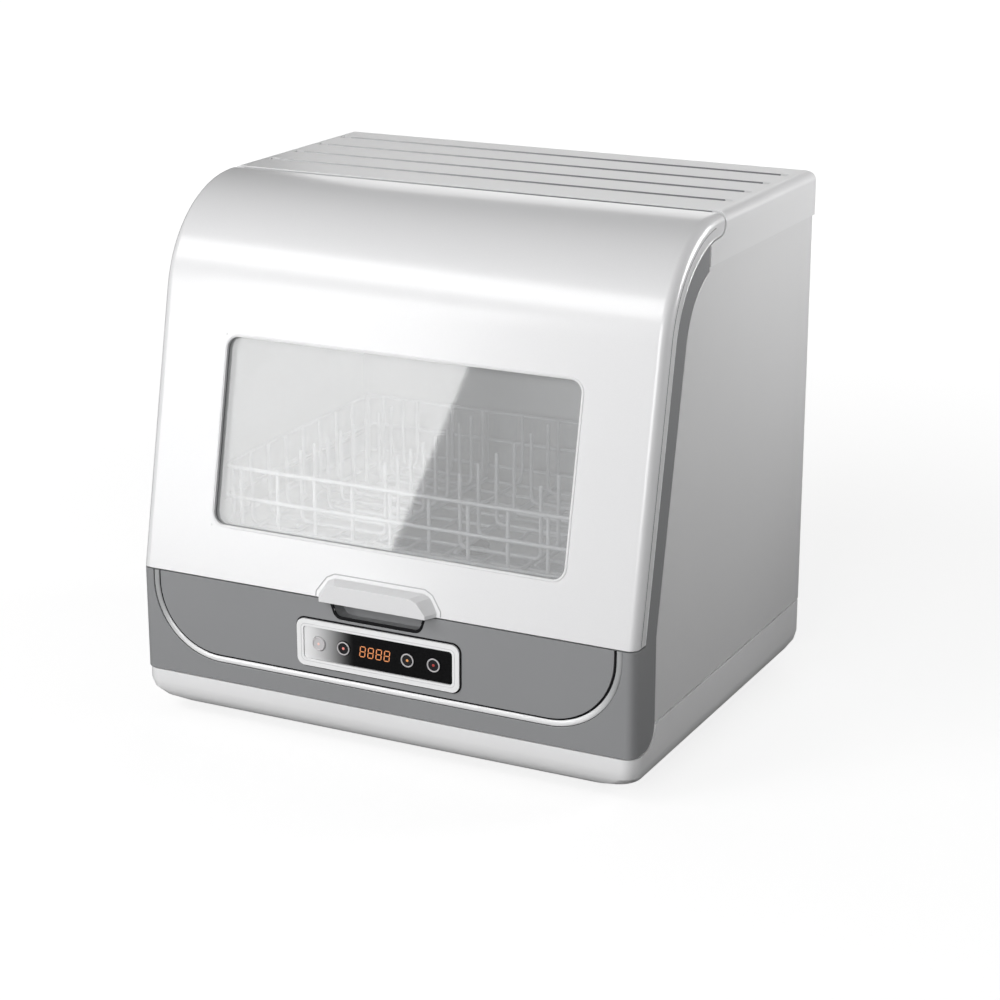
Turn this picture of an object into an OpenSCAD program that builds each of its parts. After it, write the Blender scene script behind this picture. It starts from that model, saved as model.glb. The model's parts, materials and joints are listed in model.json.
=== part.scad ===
// Countertop dishwasher with a curved lift-up door, as an assembly of its separate pieces.
// Millimetres, +Z up. The origin is the middle of the space it takes on the worktop. The door faces -Y.

/* [Cabinet] */
// Width over the base
body_w = 450; // [430:1:480]
// Depth of the cabinet, front panel to rear edge
body_d = 360; // [345:1:390]
// Height from the worktop to the top
body_h = 440; // [425:1:460]
// How far the hose fittings reach behind the cabinet
rear_reach = 30; // [24:1:40]
// Height of the rubber feet
foot_h = 10; // [6:1:16]
// Radius of the rubber feet
foot_r = 11; // [10:1:18]
// Distance of the feet from the base's edges
foot_inset = 50; // [34:1:50]
// Wall of the moulded shells
wall = 3; // [2.4:0.1:4]
// Gap between neighbouring shells
seam = 0.4; // [0.3:0.1:0.8]
// How far the side panels stand back from the base's side
side_reveal = 1; // [0.6:0.1:3]
// Radius of the long edges of door, front panel and top cover
edge_r = 8; // [6:1:12]
// Gap between the base and what stands on it
base_gap = 1; // [0.6:0.1:1.4]
// Base height at the front, without feet
base_front_h = 30; // [26:1:34]
// Base height at the sides, without feet
base_side_h = 48; // [44:1:54]
// Plan radius of the base's front corners
base_corner_r = 13; // [12:1:20]
// Plan radius of the base's rear corners
base_rear_r = 8; // [6:1:12]
// Radius of the base's lower edge
base_round = 20; // [12:1:22]

/* [Door] */
// Height of the grey panel under the door
panel_h = 90; // [86:1:94]
// Gap between the panel and the door's foot
door_gap = 1.4; // [0.8:0.1:2]
// Lean of the door's straight part from upright, degrees
lean = 12; // [9:0.5:13]
// Radius of the big curve at the top of the door
front_r = 104; // [95:1:108]
// Thickness of the door
door_depth = 18; // [17:0.5:20]
// Width of the window opening
window_w = 317; // [280:1:340]
// Height of the window opening along the door
window_h = 154; // [130:1:160]
// Door foot to window opening along the door
window_low = 45; // [40:1:52]
// Corner radius of the window opening
window_r = 10; // [6:1:16]
// Thickness of the window glass
glass_t = 4; // [3:0.5:5]
// Outer radius of the rolled hinge edge
hinge_r = 9; // [8:0.5:11]
// Radius of the hinge pins
pin_r = 2.5; // [2:0.1:3]
// Radial clearance of the hinge bores
pin_fit = 0.05; // [0.02:0.01:0.1]

/* [Handle] */
// Width of the handle at the door
handle_w = 108; // [90:1:130]
// Height of the handle
handle_h = 17; // [13:1:22]
// How far the handle stands out
handle_out = 10; // [8:1:14]
// How much lower the handle's front is than its root
handle_drop = 1.5; // [0.5:0.5:5]
// How much the handle narrows on each side to its front
handle_taper = 6; // [2:1:10]
// Width of the finger recess under it
recess_w = 88; // [70:1:100]
// Height of the finger recess
recess_h = 15; // [12:1:17]
// Depth of the finger recess
recess_deep = 14; // [10:1:20]

/* [Front panel] */
// Half width inside the curved groove
groove_half = 206; // [195:1:208]
// Height of the groove's inner edge above the panel's foot
groove_low = 23.5; // [20:0.5:25]
// Corner radius of the groove's inner edge
groove_r = 56; // [40:1:58]
// Width of the curved groove
groove_w = 7; // [4:0.5:9]
// Depth of the curved groove
groove_deep = 1.6; // [0.8:0.1:2]

/* [Controls] */
// Width of the control frame
bezel_w = 148; // [140:1:160]
// Height of the control frame
bezel_h = 40; // [36:1:41]
// Control frame foot above the panel's foot
bezel_low = 30; // [28:1:31]
// Rim width of the control frame
bezel_rim = 6; // [4:0.5:8]
// Corner radius of the control frame
bezel_r = 7; // [7:0.5:10]
// Radius of the keys
key_r = 6; // [5:0.1:6.8]
// Travel of the keys
key_travel = 0.8; // [0.5:0.1:1]
// Places of the four keys across the panel
key_x = [-54, -31, 27.5, 51];

/* [Top cover] */
// Height of the cover's skirt
skirt_h = 38; // [34:1:42]
// How far the skirt reaches forward of the hinge
skirt_fore = 21; // [18:1:30]
// Number of grooves across the cover
rib_count = 4; // [2:1:4]
// Pitch of the grooves
rib_pitch = 41; // [36:1:44]
// Width of a groove
rib_w = 8; // [4:0.5:10]
// Depth of a groove
rib_deep = 1.8; // [1:0.1:2]

/* [Tub] */
// Room between the cabinet's side and the inside of the tub
side_room = 37; // [35:0.5:42]
// Room between the top and the inside of the tub
head_room = 49; // [45:0.5:57]
// Space for pumps under the tub
pump_h = 94; // [90:1:98]
// Wall of the tub
tub_t = 2; // [1.6:0.1:2.4]
// Space behind the tub
rear_space = 48; // [44:1:56]
// Height of the sill above the door's foot
sill_h = 12; // [10:0.5:14]
// Radius of the sump
sump_r = 58; // [54:1:62]
// Sump centre along the depth
sump_y = -20; // [-24:1:-12]
// Depth of the sump
sump_deep = 42; // [38:1:50]

/* [Rack] */
// Room between the tub's side and the dish rack
rack_gap = 12; // [11:0.5:18]
// Depth of the dish rack
rack_d = 250; // [230:1:254]
// Height of the dish rack
rack_h = 62; // [50:1:70]
// Radius of the rack wires
wire_r = 1.7; // [1.4:0.1:2]
// Pitch of the plate tines
plate_pitch = 22; // [20:1:26]
// Number of plate tine pairs
plate_count = 9; // [5:1:9]
// Pitch of the bowl tines
bowl_pitch = 33; // [30:1:36]
// Number of bowl tine pairs
bowl_count = 6; // [4:1:6]
// Height of the tines
tine_h = 66; // [50:1:72]
// Travel of the rack
rack_travel = 120; // [80:1:120]

/* [Spray] */
// Reach of the spray arm from its axis
arm_r = 130; // [110:1:134]
// Width of the spray arm
arm_w = 24; // [20:1:30]
// Thickness of the spray arm
arm_t = 8; // [6:0.5:10]
// Radius of the standpipe that the arm turns on
riser_r = 8; // [6:0.5:9]
// Radial clearance between arm and standpipe
arm_fit = 0.08; // [0.03:0.01:0.1]

/* [Fittings] */
// Radius of the inlet's outer thread
inlet_r = 13.2; // [10:0.1:13.2]
// Radius of the drain spigot
drain_r = 9.5; // [8:0.1:11]
// Radius of the cord hole in the gland
cord_r = 4; // [3:0.1:4.5]

/* [Hidden] */
$fn = 64;
big = 1000;
front_y = handle_out - (handle_out + body_d + rear_reach) / 2;
rear_y = front_y + body_d;
reach_y = rear_y + rear_reach;
side_x = body_w / 2 - side_reveal;
inner_x = side_x - wall;
front_seam_z = foot_h + base_front_h;
side_seam_z = foot_h + base_side_h;
seam_r = base_side_h - base_front_h;
door_z = front_seam_z + panel_h;
panel_top = door_z - door_gap;
arc_z = body_h - front_r;
hinge_y = front_y + (front_r + (arc_z - door_z) * sin(lean)) / cos(lean);
hinge_z = body_h - hinge_r;
joint_y = hinge_y + hinge_r + seam;
skirt_z = body_h - skirt_h;
skirt_y = hinge_y - skirt_fore;
strip_in = door_depth + 1.5 * seam;
strip_out = skirt_h;
strip_y = front_y + strip_out / cos(lean);
panel_in = strip_out + seam;
seal_t = 2.6;
seal_in = door_depth + 1.5 * seam;
flange_in = seal_in + seal_t + 0.2;
flange_t = 2.2;
tub_in = flange_in + flange_t + seam;
tub_w = body_w - 2 * side_room;
rack_w = tub_w - 2 * rack_gap;
open_w = tub_w;
open_low = door_z + sill_h;
floor_z = foot_h + wall + pump_h + tub_t;
ceiling_z = body_h - head_room;
open_top = ceiling_z - 6;
tub_back = rear_y - rear_space;
flange_top = open_top + 16;
liner_t = 2.5;
liner_top = flange_top + 8;
sill_y = front_y + (flange_in + flange_t) / cos(lean);
rear_t = 2;
rear_in = rear_y - wall - 0.5 - rear_t;
hub_in = side_x - 10;
hub_gap = 0.5;
pin_out = side_x - 4;
bracket_t = 9.5;
bezel_z = front_seam_z + bezel_low + bezel_h / 2;
bezel_proud = 2;
glass_y = front_y - bezel_proud + 1.2;
cover_t = 2;
key_proud = 0.8;
key_gap = 0.3;
key_flange_y = glass_y + cover_t + 0.2;
key_flange_t = 1.5;
board_y = front_y + wall + 9;
rack_z = open_low + 4 + wire_r;
rack_front = front_y + 50;
rail_y0 = rack_front + 8;
rail_y1 = tub_back - 8;
rail_low = rack_z + 10;
rail_t = 2;
rail_h = 20;
slide_len = rack_travel - 2;
riser_top = floor_z + 21;
arm_z = floor_z + 4;
hub_h = 12;
cup_r = 16;
cup_x = 31;
cup_y = sump_y - 14;
pipe_x = 45;
fitting_z = side_seam_z + 20;
latch_x = tub_w / 2 + 20;
latch_z = door_z + 34;

pearl = [0.93, 0.93, 0.94];
light_grey = [0.80, 0.80, 0.81];
mid_grey = [0.66, 0.67, 0.68];
dark_grey = [0.50, 0.51, 0.52];
steel = [0.72, 0.73, 0.75];
black = [0.07, 0.07, 0.08];

// A shape drawn in the side view (depth, height), pushed from x0 to x1.
module along_x(x0, x1) {
    translate([x0, 0, 0]) rotate([90, 0, 90]) linear_extrude(x1 - x0) children();
}

// A shape drawn in the front view (width, height), pushed from y0 to y1.
module along_y(y0, y1) {
    translate([0, y1, 0]) rotate([90, 0, 0]) linear_extrude(y1 - y0) children();
}

// A box between two corners.
module block(a, b) {
    translate(a) cube([b[0] - a[0], b[1] - a[1], b[2] - a[2]]);
}

// A rounded rectangle about the origin.
module rounded(w, h, r) {
    square([w - 2 * r, h], center = true);
    square([w, h - 2 * r], center = true);
    for (x = [-1, 1], y = [-1, 1]) translate([x * (w / 2 - r), y * (h / 2 - r)]) circle(r);
}

// Both sides of the machine.
module both_sides() {
    children();
    mirror([1, 0, 0]) children();
}

// Local frame of the door's leaning part: x across, y into the door, z up along it from its foot.
module on_door() {
    translate([0, front_y, door_z]) rotate([-lean, 0, 0]) children();
}

// Depth of the leaning front at height z, moved in by d.
function lean_y(d, z) = front_y + d / cos(lean) + (z - door_z) * tan(lean);

arc_steps = 24;
// Side view of all that lies behind the front, moved in by d, from height z0 up and back to y1.
function profile(d, z0, y1) = concat(
    z0 < door_z ? [[lean_y(d, door_z), z0], [lean_y(d, door_z), door_z]] : [[lean_y(d, z0), z0]],
    [for (i = [0:arc_steps]) let (b = lean + (90 - lean) * i / arc_steps)
        [hinge_y - (front_r - d) * cos(b), arc_z + (front_r - d) * sin(b)]],
    y1 > hinge_y ? [[y1, body_h - d]] : [],
    [[y1, z0]]);

// A skin between two depths behind the front.
module skin(d0, d1, z0) {
    difference() {
        polygon(profile(d0, z0, hinge_y));
        polygon(profile(d1, z0 - 1, hinge_y + 1));
    }
}

// Side view of the space over the base's upper edge, with a gap g.
module over_base(g) {
    translate([-big, front_seam_z + g]) square([big + strip_y - seam_r, big]);
    translate([-big, side_seam_z + g]) square([2 * big, big]);
    translate([strip_y - seam_r, side_seam_z + g]) circle(seam_r);
}

// Front view of the cabinet's top, moved in by d, with rounded long edges.
module top_section(d, z0) {
    w = body_w / 2 - d;
    r = edge_r + side_reveal - d;
    translate([-w, z0]) square([2 * w, body_h - d - r - z0]);
    translate([-w + r, z0]) square([2 * (w - r), body_h - d - z0]);
    for (x = [-1, 1]) translate([x * (w - r), body_h - d - r]) circle(r);
}

// Plan of the base, moved in by d, its corners eased by e.
module base_plan(d, e) {
    w = body_w / 2 - d;
    for (s = [-1, 1]) {
        r0 = base_corner_r + e;
        r1 = base_rear_r + e;
        translate([s * (w - r0), front_y + d + r0]) circle(r0);
        translate([s * (w - r1), rear_y - d - r1]) circle(r1);
    }
}

round_steps = 4;
// The base's body with its rounded lower edge, moved in by d.
module base_solid(d) {
    r = base_round - d;
    hull() {
        for (i = [0:round_steps]) {
            a = 90 * i / round_steps;
            translate([0, 0, foot_h + d + r * (1 - cos(a))])
                linear_extrude(0.2) base_plan(d + r * (1 - sin(a)), r * (1 - sin(a)) - d, $fn = 32);
        }
        translate([0, 0, side_seam_z + d]) linear_extrude(0.2) base_plan(d, -d, $fn = 32);
    }
}

module foot_places() {
    for (x = [-1, 1], y = [-1, 1])
        translate([x * (body_w / 2 - foot_inset), y * (body_d / 2 - foot_inset) + (front_y + rear_y) / 2, 0])
            children();
}

post_x = tub_w / 2 - 22;
post_r = 8;
spigot_r = 4;
module base_tray() {
    color(light_grey) {
        difference() {
            base_solid(0);
            base_solid(wall);
            along_x(-big, big) over_base(0);
            foot_places() translate([0, 0, foot_h - 1]) cylinder(h = wall + 2, r = spigot_r + 0.1);
            along_y(rear_y - wall - 1, rear_y + 1) for (x = [-1, 1])
                translate([x * rear_screw_x, rear_screw_z[0]]) circle(screw_r);
        }
        for (x = [-post_x, post_x], y = [front_y + 60, tub_back - 24])
            translate([x, y, foot_h + wall - 0.5]) cylinder(h = pump_h + 0.5 - seam, r = post_r);
    }
}

module foot(sx, sy) {
    color(black)
    translate([sx * (body_w / 2 - foot_inset), sy * (body_d / 2 - foot_inset) + (front_y + rear_y) / 2, 0]) {
        rotate_extrude() polygon([[0, 0], [foot_r - 1.5, 0], [foot_r, 1.5], [foot_r - 1, foot_h], [0, foot_h]]);
        cylinder(h = foot_h + wall + 1, r = spigot_r);
    }
}

// Outline of the finger recess in the front view.
module recess_outline(e) {
    top = panel_top + 1;
    low = panel_top - recess_h - e;
    half = recess_w / 2 + e;
    foot_half = half - 10;
    steps = 5;
    c = 8;
    polygon(concat([[-half, top]],
        [for (i = [0:steps]) let (a = 180 + 90 * i / steps) [-foot_half + c * cos(a) + 3, low + c + c * sin(a)]],
        [for (i = [0:steps]) let (a = 270 + 90 * i / steps) [foot_half + c * cos(a) - 3, low + c + c * sin(a)]],
        [[half, top]]));
}

// Outline inside the curved groove, grown by e.
module groove_outline(e) {
    half = groove_half + e;
    low = front_seam_z + groove_low - e;
    r = groove_r + e;
    translate([-half, low + r]) square([2 * half, panel_h]);
    translate([-half + r, low]) square([2 * (half - r), panel_h]);
    for (x = [-1, 1]) translate([x * (half - r), low + r]) circle(r);
}

module panel_plan(d) {
    w = side_x - d;
    r = edge_r - d;
    y = front_y + d;
    translate([-w, y + r]) square([2 * w, strip_y - y - r + d]);
    translate([-w + r, y]) square([2 * (w - r), r]);
    for (x = [-1, 1]) translate([x * (w - r), y + r]) circle(r);
}

latch_gap = 4;
module front_frame() {
    color(dark_grey) difference() {
        union() {
            difference() {
                intersection() {
                    linear_extrude(panel_top) panel_plan(0);
                    along_x(-big, big) over_base(base_gap);
                }
                linear_extrude(panel_top - wall) panel_plan(wall);
                block([-inner_x, sill_y, 0], [inner_x, big, big]);
            }
            along_x(-inner_x - 1, inner_x + 1) intersection() {
                skin(flange_in, flange_in + flange_t, panel_top - wall);
                translate([-big, 0]) square([2 * big, flange_top]);
            }
            both_sides() along_x(inner_x, side_x) intersection() {
                skin(strip_in, strip_out, panel_top - wall);
                translate([-big, 0]) square([big + skirt_y - seam, big]);
            }
            intersection() {
                along_y(front_y + 1, front_y + recess_deep + 2) recess_outline(2);
                block([-big, -big, 0], [big, big, panel_top]);
            }
        }
        block([-open_w / 2, -big, open_low], [open_w / 2, 0, open_top]);
        along_y(front_y - 1, front_y + recess_deep) recess_outline(0);
        along_y(front_y - 1, front_y + groove_deep) difference() {
            groove_outline(groove_w);
            groove_outline(0);
        }
        along_y(front_y - 1, front_y + wall + 1) translate([0, bezel_z])
            rounded(bezel_w - 8, bezel_h - 8, bezel_r - 3);
        translate([latch_x, 0, 0]) on_latch()
            block([-latch_gap, flange_in - 1, -5], [latch_gap, flange_in + flange_t + 1, 10]);
    }
}

module side_panel() {
    color(mid_grey) {
        along_x(inner_x, side_x) {
            intersection() {
                polygon(profile(panel_in, side_seam_z + base_gap, rear_y - wall));
                translate([-big, 0]) square([2 * big, skirt_z - seam]);
            }
            translate([skirt_y, skirt_z - skirt_fore]) square([skirt_fore + 1, skirt_fore - seam]);
        }
        lip_y = hinge_y + 14;
        block([inner_x - 2, lip_y, skirt_z - 6], [inner_x + 0.4, rear_in - 2, skirt_z + 14]);
    }
}

vent_rows = 7;
screw_r = 1.9;
head_r = 3.8;
rear_screw_x = side_x - 40;
rear_screw_z = [side_seam_z - 12, skirt_z + 16];
module rear_panel() {
    color(steel) difference() {
        intersection() {
            along_y(rear_in, rear_in + rear_t) top_section(wall + 1, foot_h + base_round + 4);
            block([-inner_x + 2.5, 0, 0], [inner_x - 2.5, big, big]);
        }
        along_y(rear_in - 1, rear_in + rear_t + 1) {
            for (i = [0:vent_rows - 1]) translate([0, skirt_z - 34 - 10 * i]) rounded(90, 4, 1.9);
            translate([pipe_x, fitting_z]) circle(inlet_r + 0.4);
            translate([-pipe_x, fitting_z]) circle(drain_r + 0.4);
            translate([-side_x + 60, fitting_z]) circle(2 * cord_r + 0.2);
            for (x = [-1, 1], z = rear_screw_z) translate([x * rear_screw_x, z]) circle(screw_r);
        }
    }
}

// Screws that hold the rear panel to the base and the top cover to the rear panel.
module screws() {
    color(steel) for (x = [-1, 1], z = rear_screw_z) translate([x * rear_screw_x, 0, z]) rotate([-90, 0, 0]) {
        translate([0, 0, rear_in - 6]) cylinder(h = rear_y + 0.2 - rear_in + 6, r = screw_r - 0.15);
        translate([0, 0, rear_y]) cylinder(h = 2.2, r = head_r);
    }
}

cover_edge_r = 8;
module top_cover() {
    color(light_grey) difference() {
        intersection() {
            along_y(skirt_y, rear_y) top_section(0, skirt_z);
            along_x(-big, big) union() {
                translate([skirt_y, skirt_z]) square([rear_y - skirt_y - cover_edge_r, skirt_h]);
                translate([skirt_y, skirt_z]) square([rear_y - skirt_y, skirt_h - cover_edge_r]);
                translate([rear_y - cover_edge_r, body_h - cover_edge_r]) circle(cover_edge_r);
            }
        }
        difference() {
            along_y(skirt_y - 1, rear_y - wall) top_section(wall, skirt_z - 1);
            block([-side_x + edge_r, joint_y, hinge_z - 4], [side_x - edge_r, joint_y + wall, body_h]);
        }
        along_x(-big, big) {
            difference() {
                polygon(profile(-5, skirt_z - 1, hinge_y));
                polygon(profile(strip_in, skirt_z - 2, hinge_y + 1));
            }
            translate([hinge_y, hinge_z]) circle(hinge_r + seam);
            translate([hinge_y - 1, hinge_z]) square([joint_y - hinge_y + 1, hinge_r + 5]);
        }
        for (i = [1:rib_count]) rib_cut(joint_y + rib_pitch * i);
        along_y(rear_y - wall - 1, rear_y + 1) for (x = [-1, 1])
            translate([x * rear_screw_x, rear_screw_z[1]]) circle(screw_r);
    }
}

// One groove across the top cover.
module rib_cut(y) {
    r = (rib_w * rib_w / 4 + rib_deep * rib_deep) / (2 * rib_deep);
    half = body_w / 2 - edge_r - 4;
    translate([-half, y, body_h + r - rib_deep]) rotate([0, 90, 0]) cylinder(h = 2 * half, r = r);
}

module tub_side(d, inset) {
    intersection() {
        polygon(profile(tub_in + d, floor_z - tub_t + inset, tub_back + tub_t - inset));
        translate([-big, 0]) square([2 * big, ceiling_z + tub_t - inset]);
    }
}

module tub() {
    outer = tub_w / 2 + tub_t;
    color([0.86, 0.87, 0.88]) difference() {
        union() {
            along_x(-outer, outer) tub_side(0, 0);
            along_x(-outer - 10, outer + 10) intersection() {
                skin(tub_in, tub_in + tub_t, floor_z);
                translate([-big, 0]) square([2 * big, flange_top]);
            }
        }
        along_x(-tub_w / 2, tub_w / 2) tub_side(tub_t, tub_t);
        block([-open_w / 2, -big, open_low], [open_w / 2, 0, open_top]);
        translate([0, sump_y, floor_z - tub_t - 1]) cylinder(h = tub_t + 2, r = sump_r - 2);
    }
}

module tub_seal() {
    rim = 12;
    color([0.25, 0.25, 0.27]) difference() {
        along_x(-open_w / 2 - rim, open_w / 2 + rim) intersection() {
            skin(seal_in, seal_in + seal_t, open_low - rim + 1);
            translate([-big, 0]) square([2 * big, open_top + rim]);
        }
        block([-open_w / 2 - 1, -big, open_low + 1], [open_w / 2 + 1, 0, open_top - 1]);
    }
}

heater_r = 43;
heater_wire = 3.2;
heater_z = floor_z - 24;
sump_z = floor_z - tub_t - 0.3 - sump_deep;
module sump() {
    color([0.35, 0.36, 0.38]) translate([0, sump_y, 0]) difference() {
        union() {
            translate([0, 0, sump_z]) cylinder(h = sump_deep, r = sump_r);
            translate([0, 0, sump_z + sump_deep - 3]) cylinder(h = 3, r = sump_r + 8);
        }
        translate([0, 0, sump_z + wall]) cylinder(h = sump_deep, r = sump_r - wall);
        for (a = [30, 300]) rotate([0, 0, a]) translate([heater_r, 0, heater_z]) rotate([0, 90, 0])
            cylinder(h = sump_r, r = heater_wire + 0.1);
    }
}

module heater() {
    color(steel) translate([0, sump_y, heater_z]) {
        rotate([0, 0, 30]) rotate_extrude(angle = 270) translate([heater_r, 0]) circle(heater_wire);
        for (a = [30, 300]) rotate([0, 0, a]) translate([heater_r - 1, 0, 0]) rotate([0, 90, 0])
            cylinder(h = sump_r + 12 - heater_r, r = heater_wire);
    }
}

plate_t = 1.6;
module filter_plate() {
    color(steel) difference() {
        translate([0, sump_y, floor_z + 0.2]) cylinder(h = plate_t, r = sump_r + 2);
        translate([0, sump_y, floor_z - 1]) cylinder(h = 6, r = riser_r + 0.3);
        translate([cup_x, cup_y, floor_z - 1]) cylinder(h = 6, r = cup_r + 0.3);
        for (k = [0, 1], a = [60:20:320]) rotate_about(a) translate([24 + 14 * k, 0, floor_z - 1])
            cylinder(h = 6, r = 2.5);
    }
}

module rotate_about(a) {
    translate([0, sump_y, 0]) rotate([0, 0, a]) children();
}

module filter_cup() {
    color([0.55, 0.57, 0.60]) translate([cup_x, cup_y, 0]) {
        difference() {
            union() {
                translate([0, 0, sump_z + wall + 4]) cylinder(h = floor_z + 2 - sump_z - wall - 4, r = cup_r);
                translate([0, 0, floor_z + 0.3 + plate_t]) cylinder(h = 1.4, r = cup_r + 2.5);
            }
            translate([0, 0, sump_z + wall + 5.5]) cylinder(h = 100, r = cup_r - 1.5);
        }
        block([-cup_r + 0.5, -1.2, floor_z - 3], [cup_r - 0.5, 1.2, floor_z + 4]);
    }
}

module spray_riser() {
    color(mid_grey) translate([0, sump_y, 0]) difference() {
        union() {
            translate([0, 0, sump_z + wall]) cylinder(h = arm_z - 0.4 - sump_z - wall, r = riser_r);
            translate([0, 0, floor_z + 0.5 + plate_t]) cylinder(h = arm_z - floor_z - 0.9 - plate_t, r = riser_r + 4);
            translate([0, 0, arm_z - 1]) cylinder(h = riser_top - arm_z + 1, r = riser_r);
        }
        translate([0, 0, sump_z + wall + 3]) cylinder(h = riser_top - sump_z - wall - 6, r = riser_r - 2.5);
    }
}

module spray_cap() {
    color(dark_grey) translate([0, sump_y, 0]) difference() {
        translate([0, 0, arm_z + hub_h + 0.3]) cylinder(h = 7, r = riser_r + 4);
        translate([0, 0, arm_z]) cylinder(h = riser_top - arm_z + 0.1, r = riser_r + 0.1);
    }
}

module spray_arm() {
    color([0.78, 0.80, 0.82]) translate([0, sump_y, 0]) difference() {
        union() {
            translate([0, 0, arm_z]) cylinder(h = hub_h, r = riser_r + 7);
            block([-arm_r + arm_w / 2, -arm_w / 2, arm_z + hub_h - arm_t], [arm_r - arm_w / 2, arm_w / 2, arm_z + hub_h]);
            for (x = [-1, 1]) translate([x * (arm_r - arm_w / 2), 0, arm_z + hub_h - arm_t])
                cylinder(h = arm_t, r = arm_w / 2);
        }
        translate([0, 0, arm_z - 1]) cylinder(h = hub_h + 2, r = riser_r + arm_fit);
        for (i = [0:4], s = [-1, 1])
            translate([s * (arm_r - 14 - 22 * i), s * (i % 2 == 0 ? 4 : -4), arm_z + hub_h - 2])
                cylinder(h = 3, r = 1.5);
    }
}

pump_z = sump_z + 16;
pump_r = 22;
pump_foot_z = foot_h + wall + 0.2;
module wash_pump() {
    start = sump_r + 0.3;
    color([0.30, 0.31, 0.33]) translate([0, sump_y, pump_z]) {
        rotate([0, 90, 0]) {
            translate([0, 0, start]) cylinder(h = 12, r = 12);
            translate([0, 0, start + 8]) cylinder(h = 20, r = pump_r + 1);
            translate([0, 0, start + 27]) cylinder(h = 62, r = pump_r - 2);
        }
        block([start + 34, -16, pump_foot_z - pump_z], [start + 80, 16, -12]);
    }
}

drain_y = sump_y + sump_r + 34;
// Where a pipe of radius r beside the sump starts, just clear of its wall.
function pipe_start(r) = sump_y + sqrt(sump_r * sump_r - (pipe_x - r) * (pipe_x - r)) + 1;
module drain_pump() {
    color([0.30, 0.31, 0.33]) translate([-pipe_x, 0, pump_z]) {
        rotate([-90, 0, 0]) {
            translate([0, 0, pipe_start(7)]) cylinder(h = drain_y - pipe_start(7) + 1, r = 7);
            translate([0, 0, drain_y]) cylinder(h = 34, r = pump_r);
            translate([0, pump_z - fitting_z, drain_y + 10]) cylinder(h = rear_in - 11.5 - drain_y, r = 8);
        }
        block([-13, drain_y + 4, pump_foot_z - pump_z], [13, drain_y + 30, -14]);
    }
}

module drain_connector() {
    color(dark_grey) translate([-pipe_x, 0, fitting_z]) rotate([-90, 0, 0]) difference() {
        union() {
            translate([0, 0, rear_in - 1]) cylinder(h = reach_y - rear_in + 1, r = drain_r);
            translate([0, 0, rear_in + rear_t + 0.2]) cylinder(h = 3, r = drain_r + 5);
        }
        translate([0, 0, rear_in + 4]) cylinder(h = reach_y, r = drain_r - 2.5);
    }
}

module inlet_valve() {
    color([0.90, 0.90, 0.88]) {
        translate([pipe_x, 0, fitting_z]) rotate([-90, 0, 0]) difference() {
            union() {
                translate([0, 0, pipe_start(6)]) cylinder(h = tub_back - pipe_start(6) + 5, r = 6);
                translate([0, 0, rear_in - 6]) cylinder(h = reach_y - rear_in + 6, r = inlet_r);
                translate([0, 0, rear_in + rear_t + 0.2]) cylinder(h = 3, r = inlet_r + 4);
            }
            translate([0, 0, rear_in + 6]) cylinder(h = reach_y, r = inlet_r - 3.5);
        }
        block([pipe_x - 16, tub_back + 4, fitting_z - 16], [pipe_x + 16, rear_in - 4, fitting_z + 16]);
        block([pipe_x + 15, tub_back + 8, fitting_z - 12], [pipe_x + 42, rear_in - 8, fitting_z + 12]);
    }
}

module cord_gland() {
    color(black) translate([-side_x + 60, 0, fitting_z]) rotate([-90, 0, 0]) difference() {
        union() {
            translate([0, 0, rear_in - 5]) cylinder(h = 18, r = 2 * cord_r);
            translate([0, 0, rear_in + rear_t + 0.2]) cylinder(h = 4, r = 2 * cord_r + 4);
            translate([0, 0, rear_in - 5]) cylinder(h = 4.5, r = 2 * cord_r + 4);
        }
        translate([0, 0, rear_in - 6]) cylinder(h = 40, r = cord_r);
    }
}

post_gap = 9;
module control_bezel() {
    color([0.90, 0.90, 0.91]) translate([0, 0, bezel_z]) {
        difference() {
            union() {
                along_y(front_y - bezel_proud, front_y - 0.2) rounded(bezel_w, bezel_h, bezel_r);
                along_y(front_y - 0.3, front_y + wall + 1) rounded(bezel_w - 8.6, bezel_h - 8.6, bezel_r - 3.3);
            }
            along_y(front_y - bezel_proud - 1, front_y + wall + 2)
                rounded(bezel_w - 2 * bezel_rim, bezel_h - 2 * bezel_rim, bezel_r - 4);
        }
        for (x = [-1, 1], z = [-1, 1])
            translate([x * (bezel_w / 2 - bezel_rim - 0.6), 0, z * (bezel_h / 2 - bezel_rim - 0.6)])
            rotate([-90, 0, 0]) translate([0, 0, glass_y + cover_t + 0.1])
                cylinder(h = board_y - glass_y - cover_t - 0.2, r = 1.6);
    }
}

module control_window() {
    color(black) along_y(glass_y, glass_y + cover_t) difference() {
        translate([0, bezel_z])
            rounded(bezel_w - 2 * bezel_rim - 0.4, bezel_h - 2 * bezel_rim - 0.4, bezel_r - 4.2);
        for (x = key_x) translate([x, bezel_z]) circle(key_r + key_gap);
    }
}

module key(i) {
    color([0.75, 0.76, 0.78]) translate([key_x[i], 0, bezel_z]) rotate([-90, 0, 0]) {
        translate([0, 0, glass_y - key_proud]) cylinder(h = key_flange_y + 0.5 - glass_y + key_proud, r = key_r);
        translate([0, 0, key_flange_y]) cylinder(h = key_flange_t, r = key_r + 1.4);
    }
}

board_t = 1.6;
module control_board() {
    stem_y = key_flange_y + key_flange_t + key_travel + 0.1;
    color([0.13, 0.38, 0.24]) {
        block([-bezel_w / 2 + 4, board_y, bezel_z - bezel_h / 2 + 2],
            [bezel_w / 2 - 4, board_y + board_t, bezel_z + bezel_h / 2 - 2]);
        for (x = key_x) translate([x, 0, bezel_z]) rotate([-90, 0, 0]) translate([0, 0, stem_y])
            cylinder(h = board_y + 0.2 - stem_y, r = 2);
        block([-19, glass_y + cover_t + 0.2, bezel_z - 8], [19, board_y + 0.2, bezel_z + 8]);
    }
}

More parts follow.
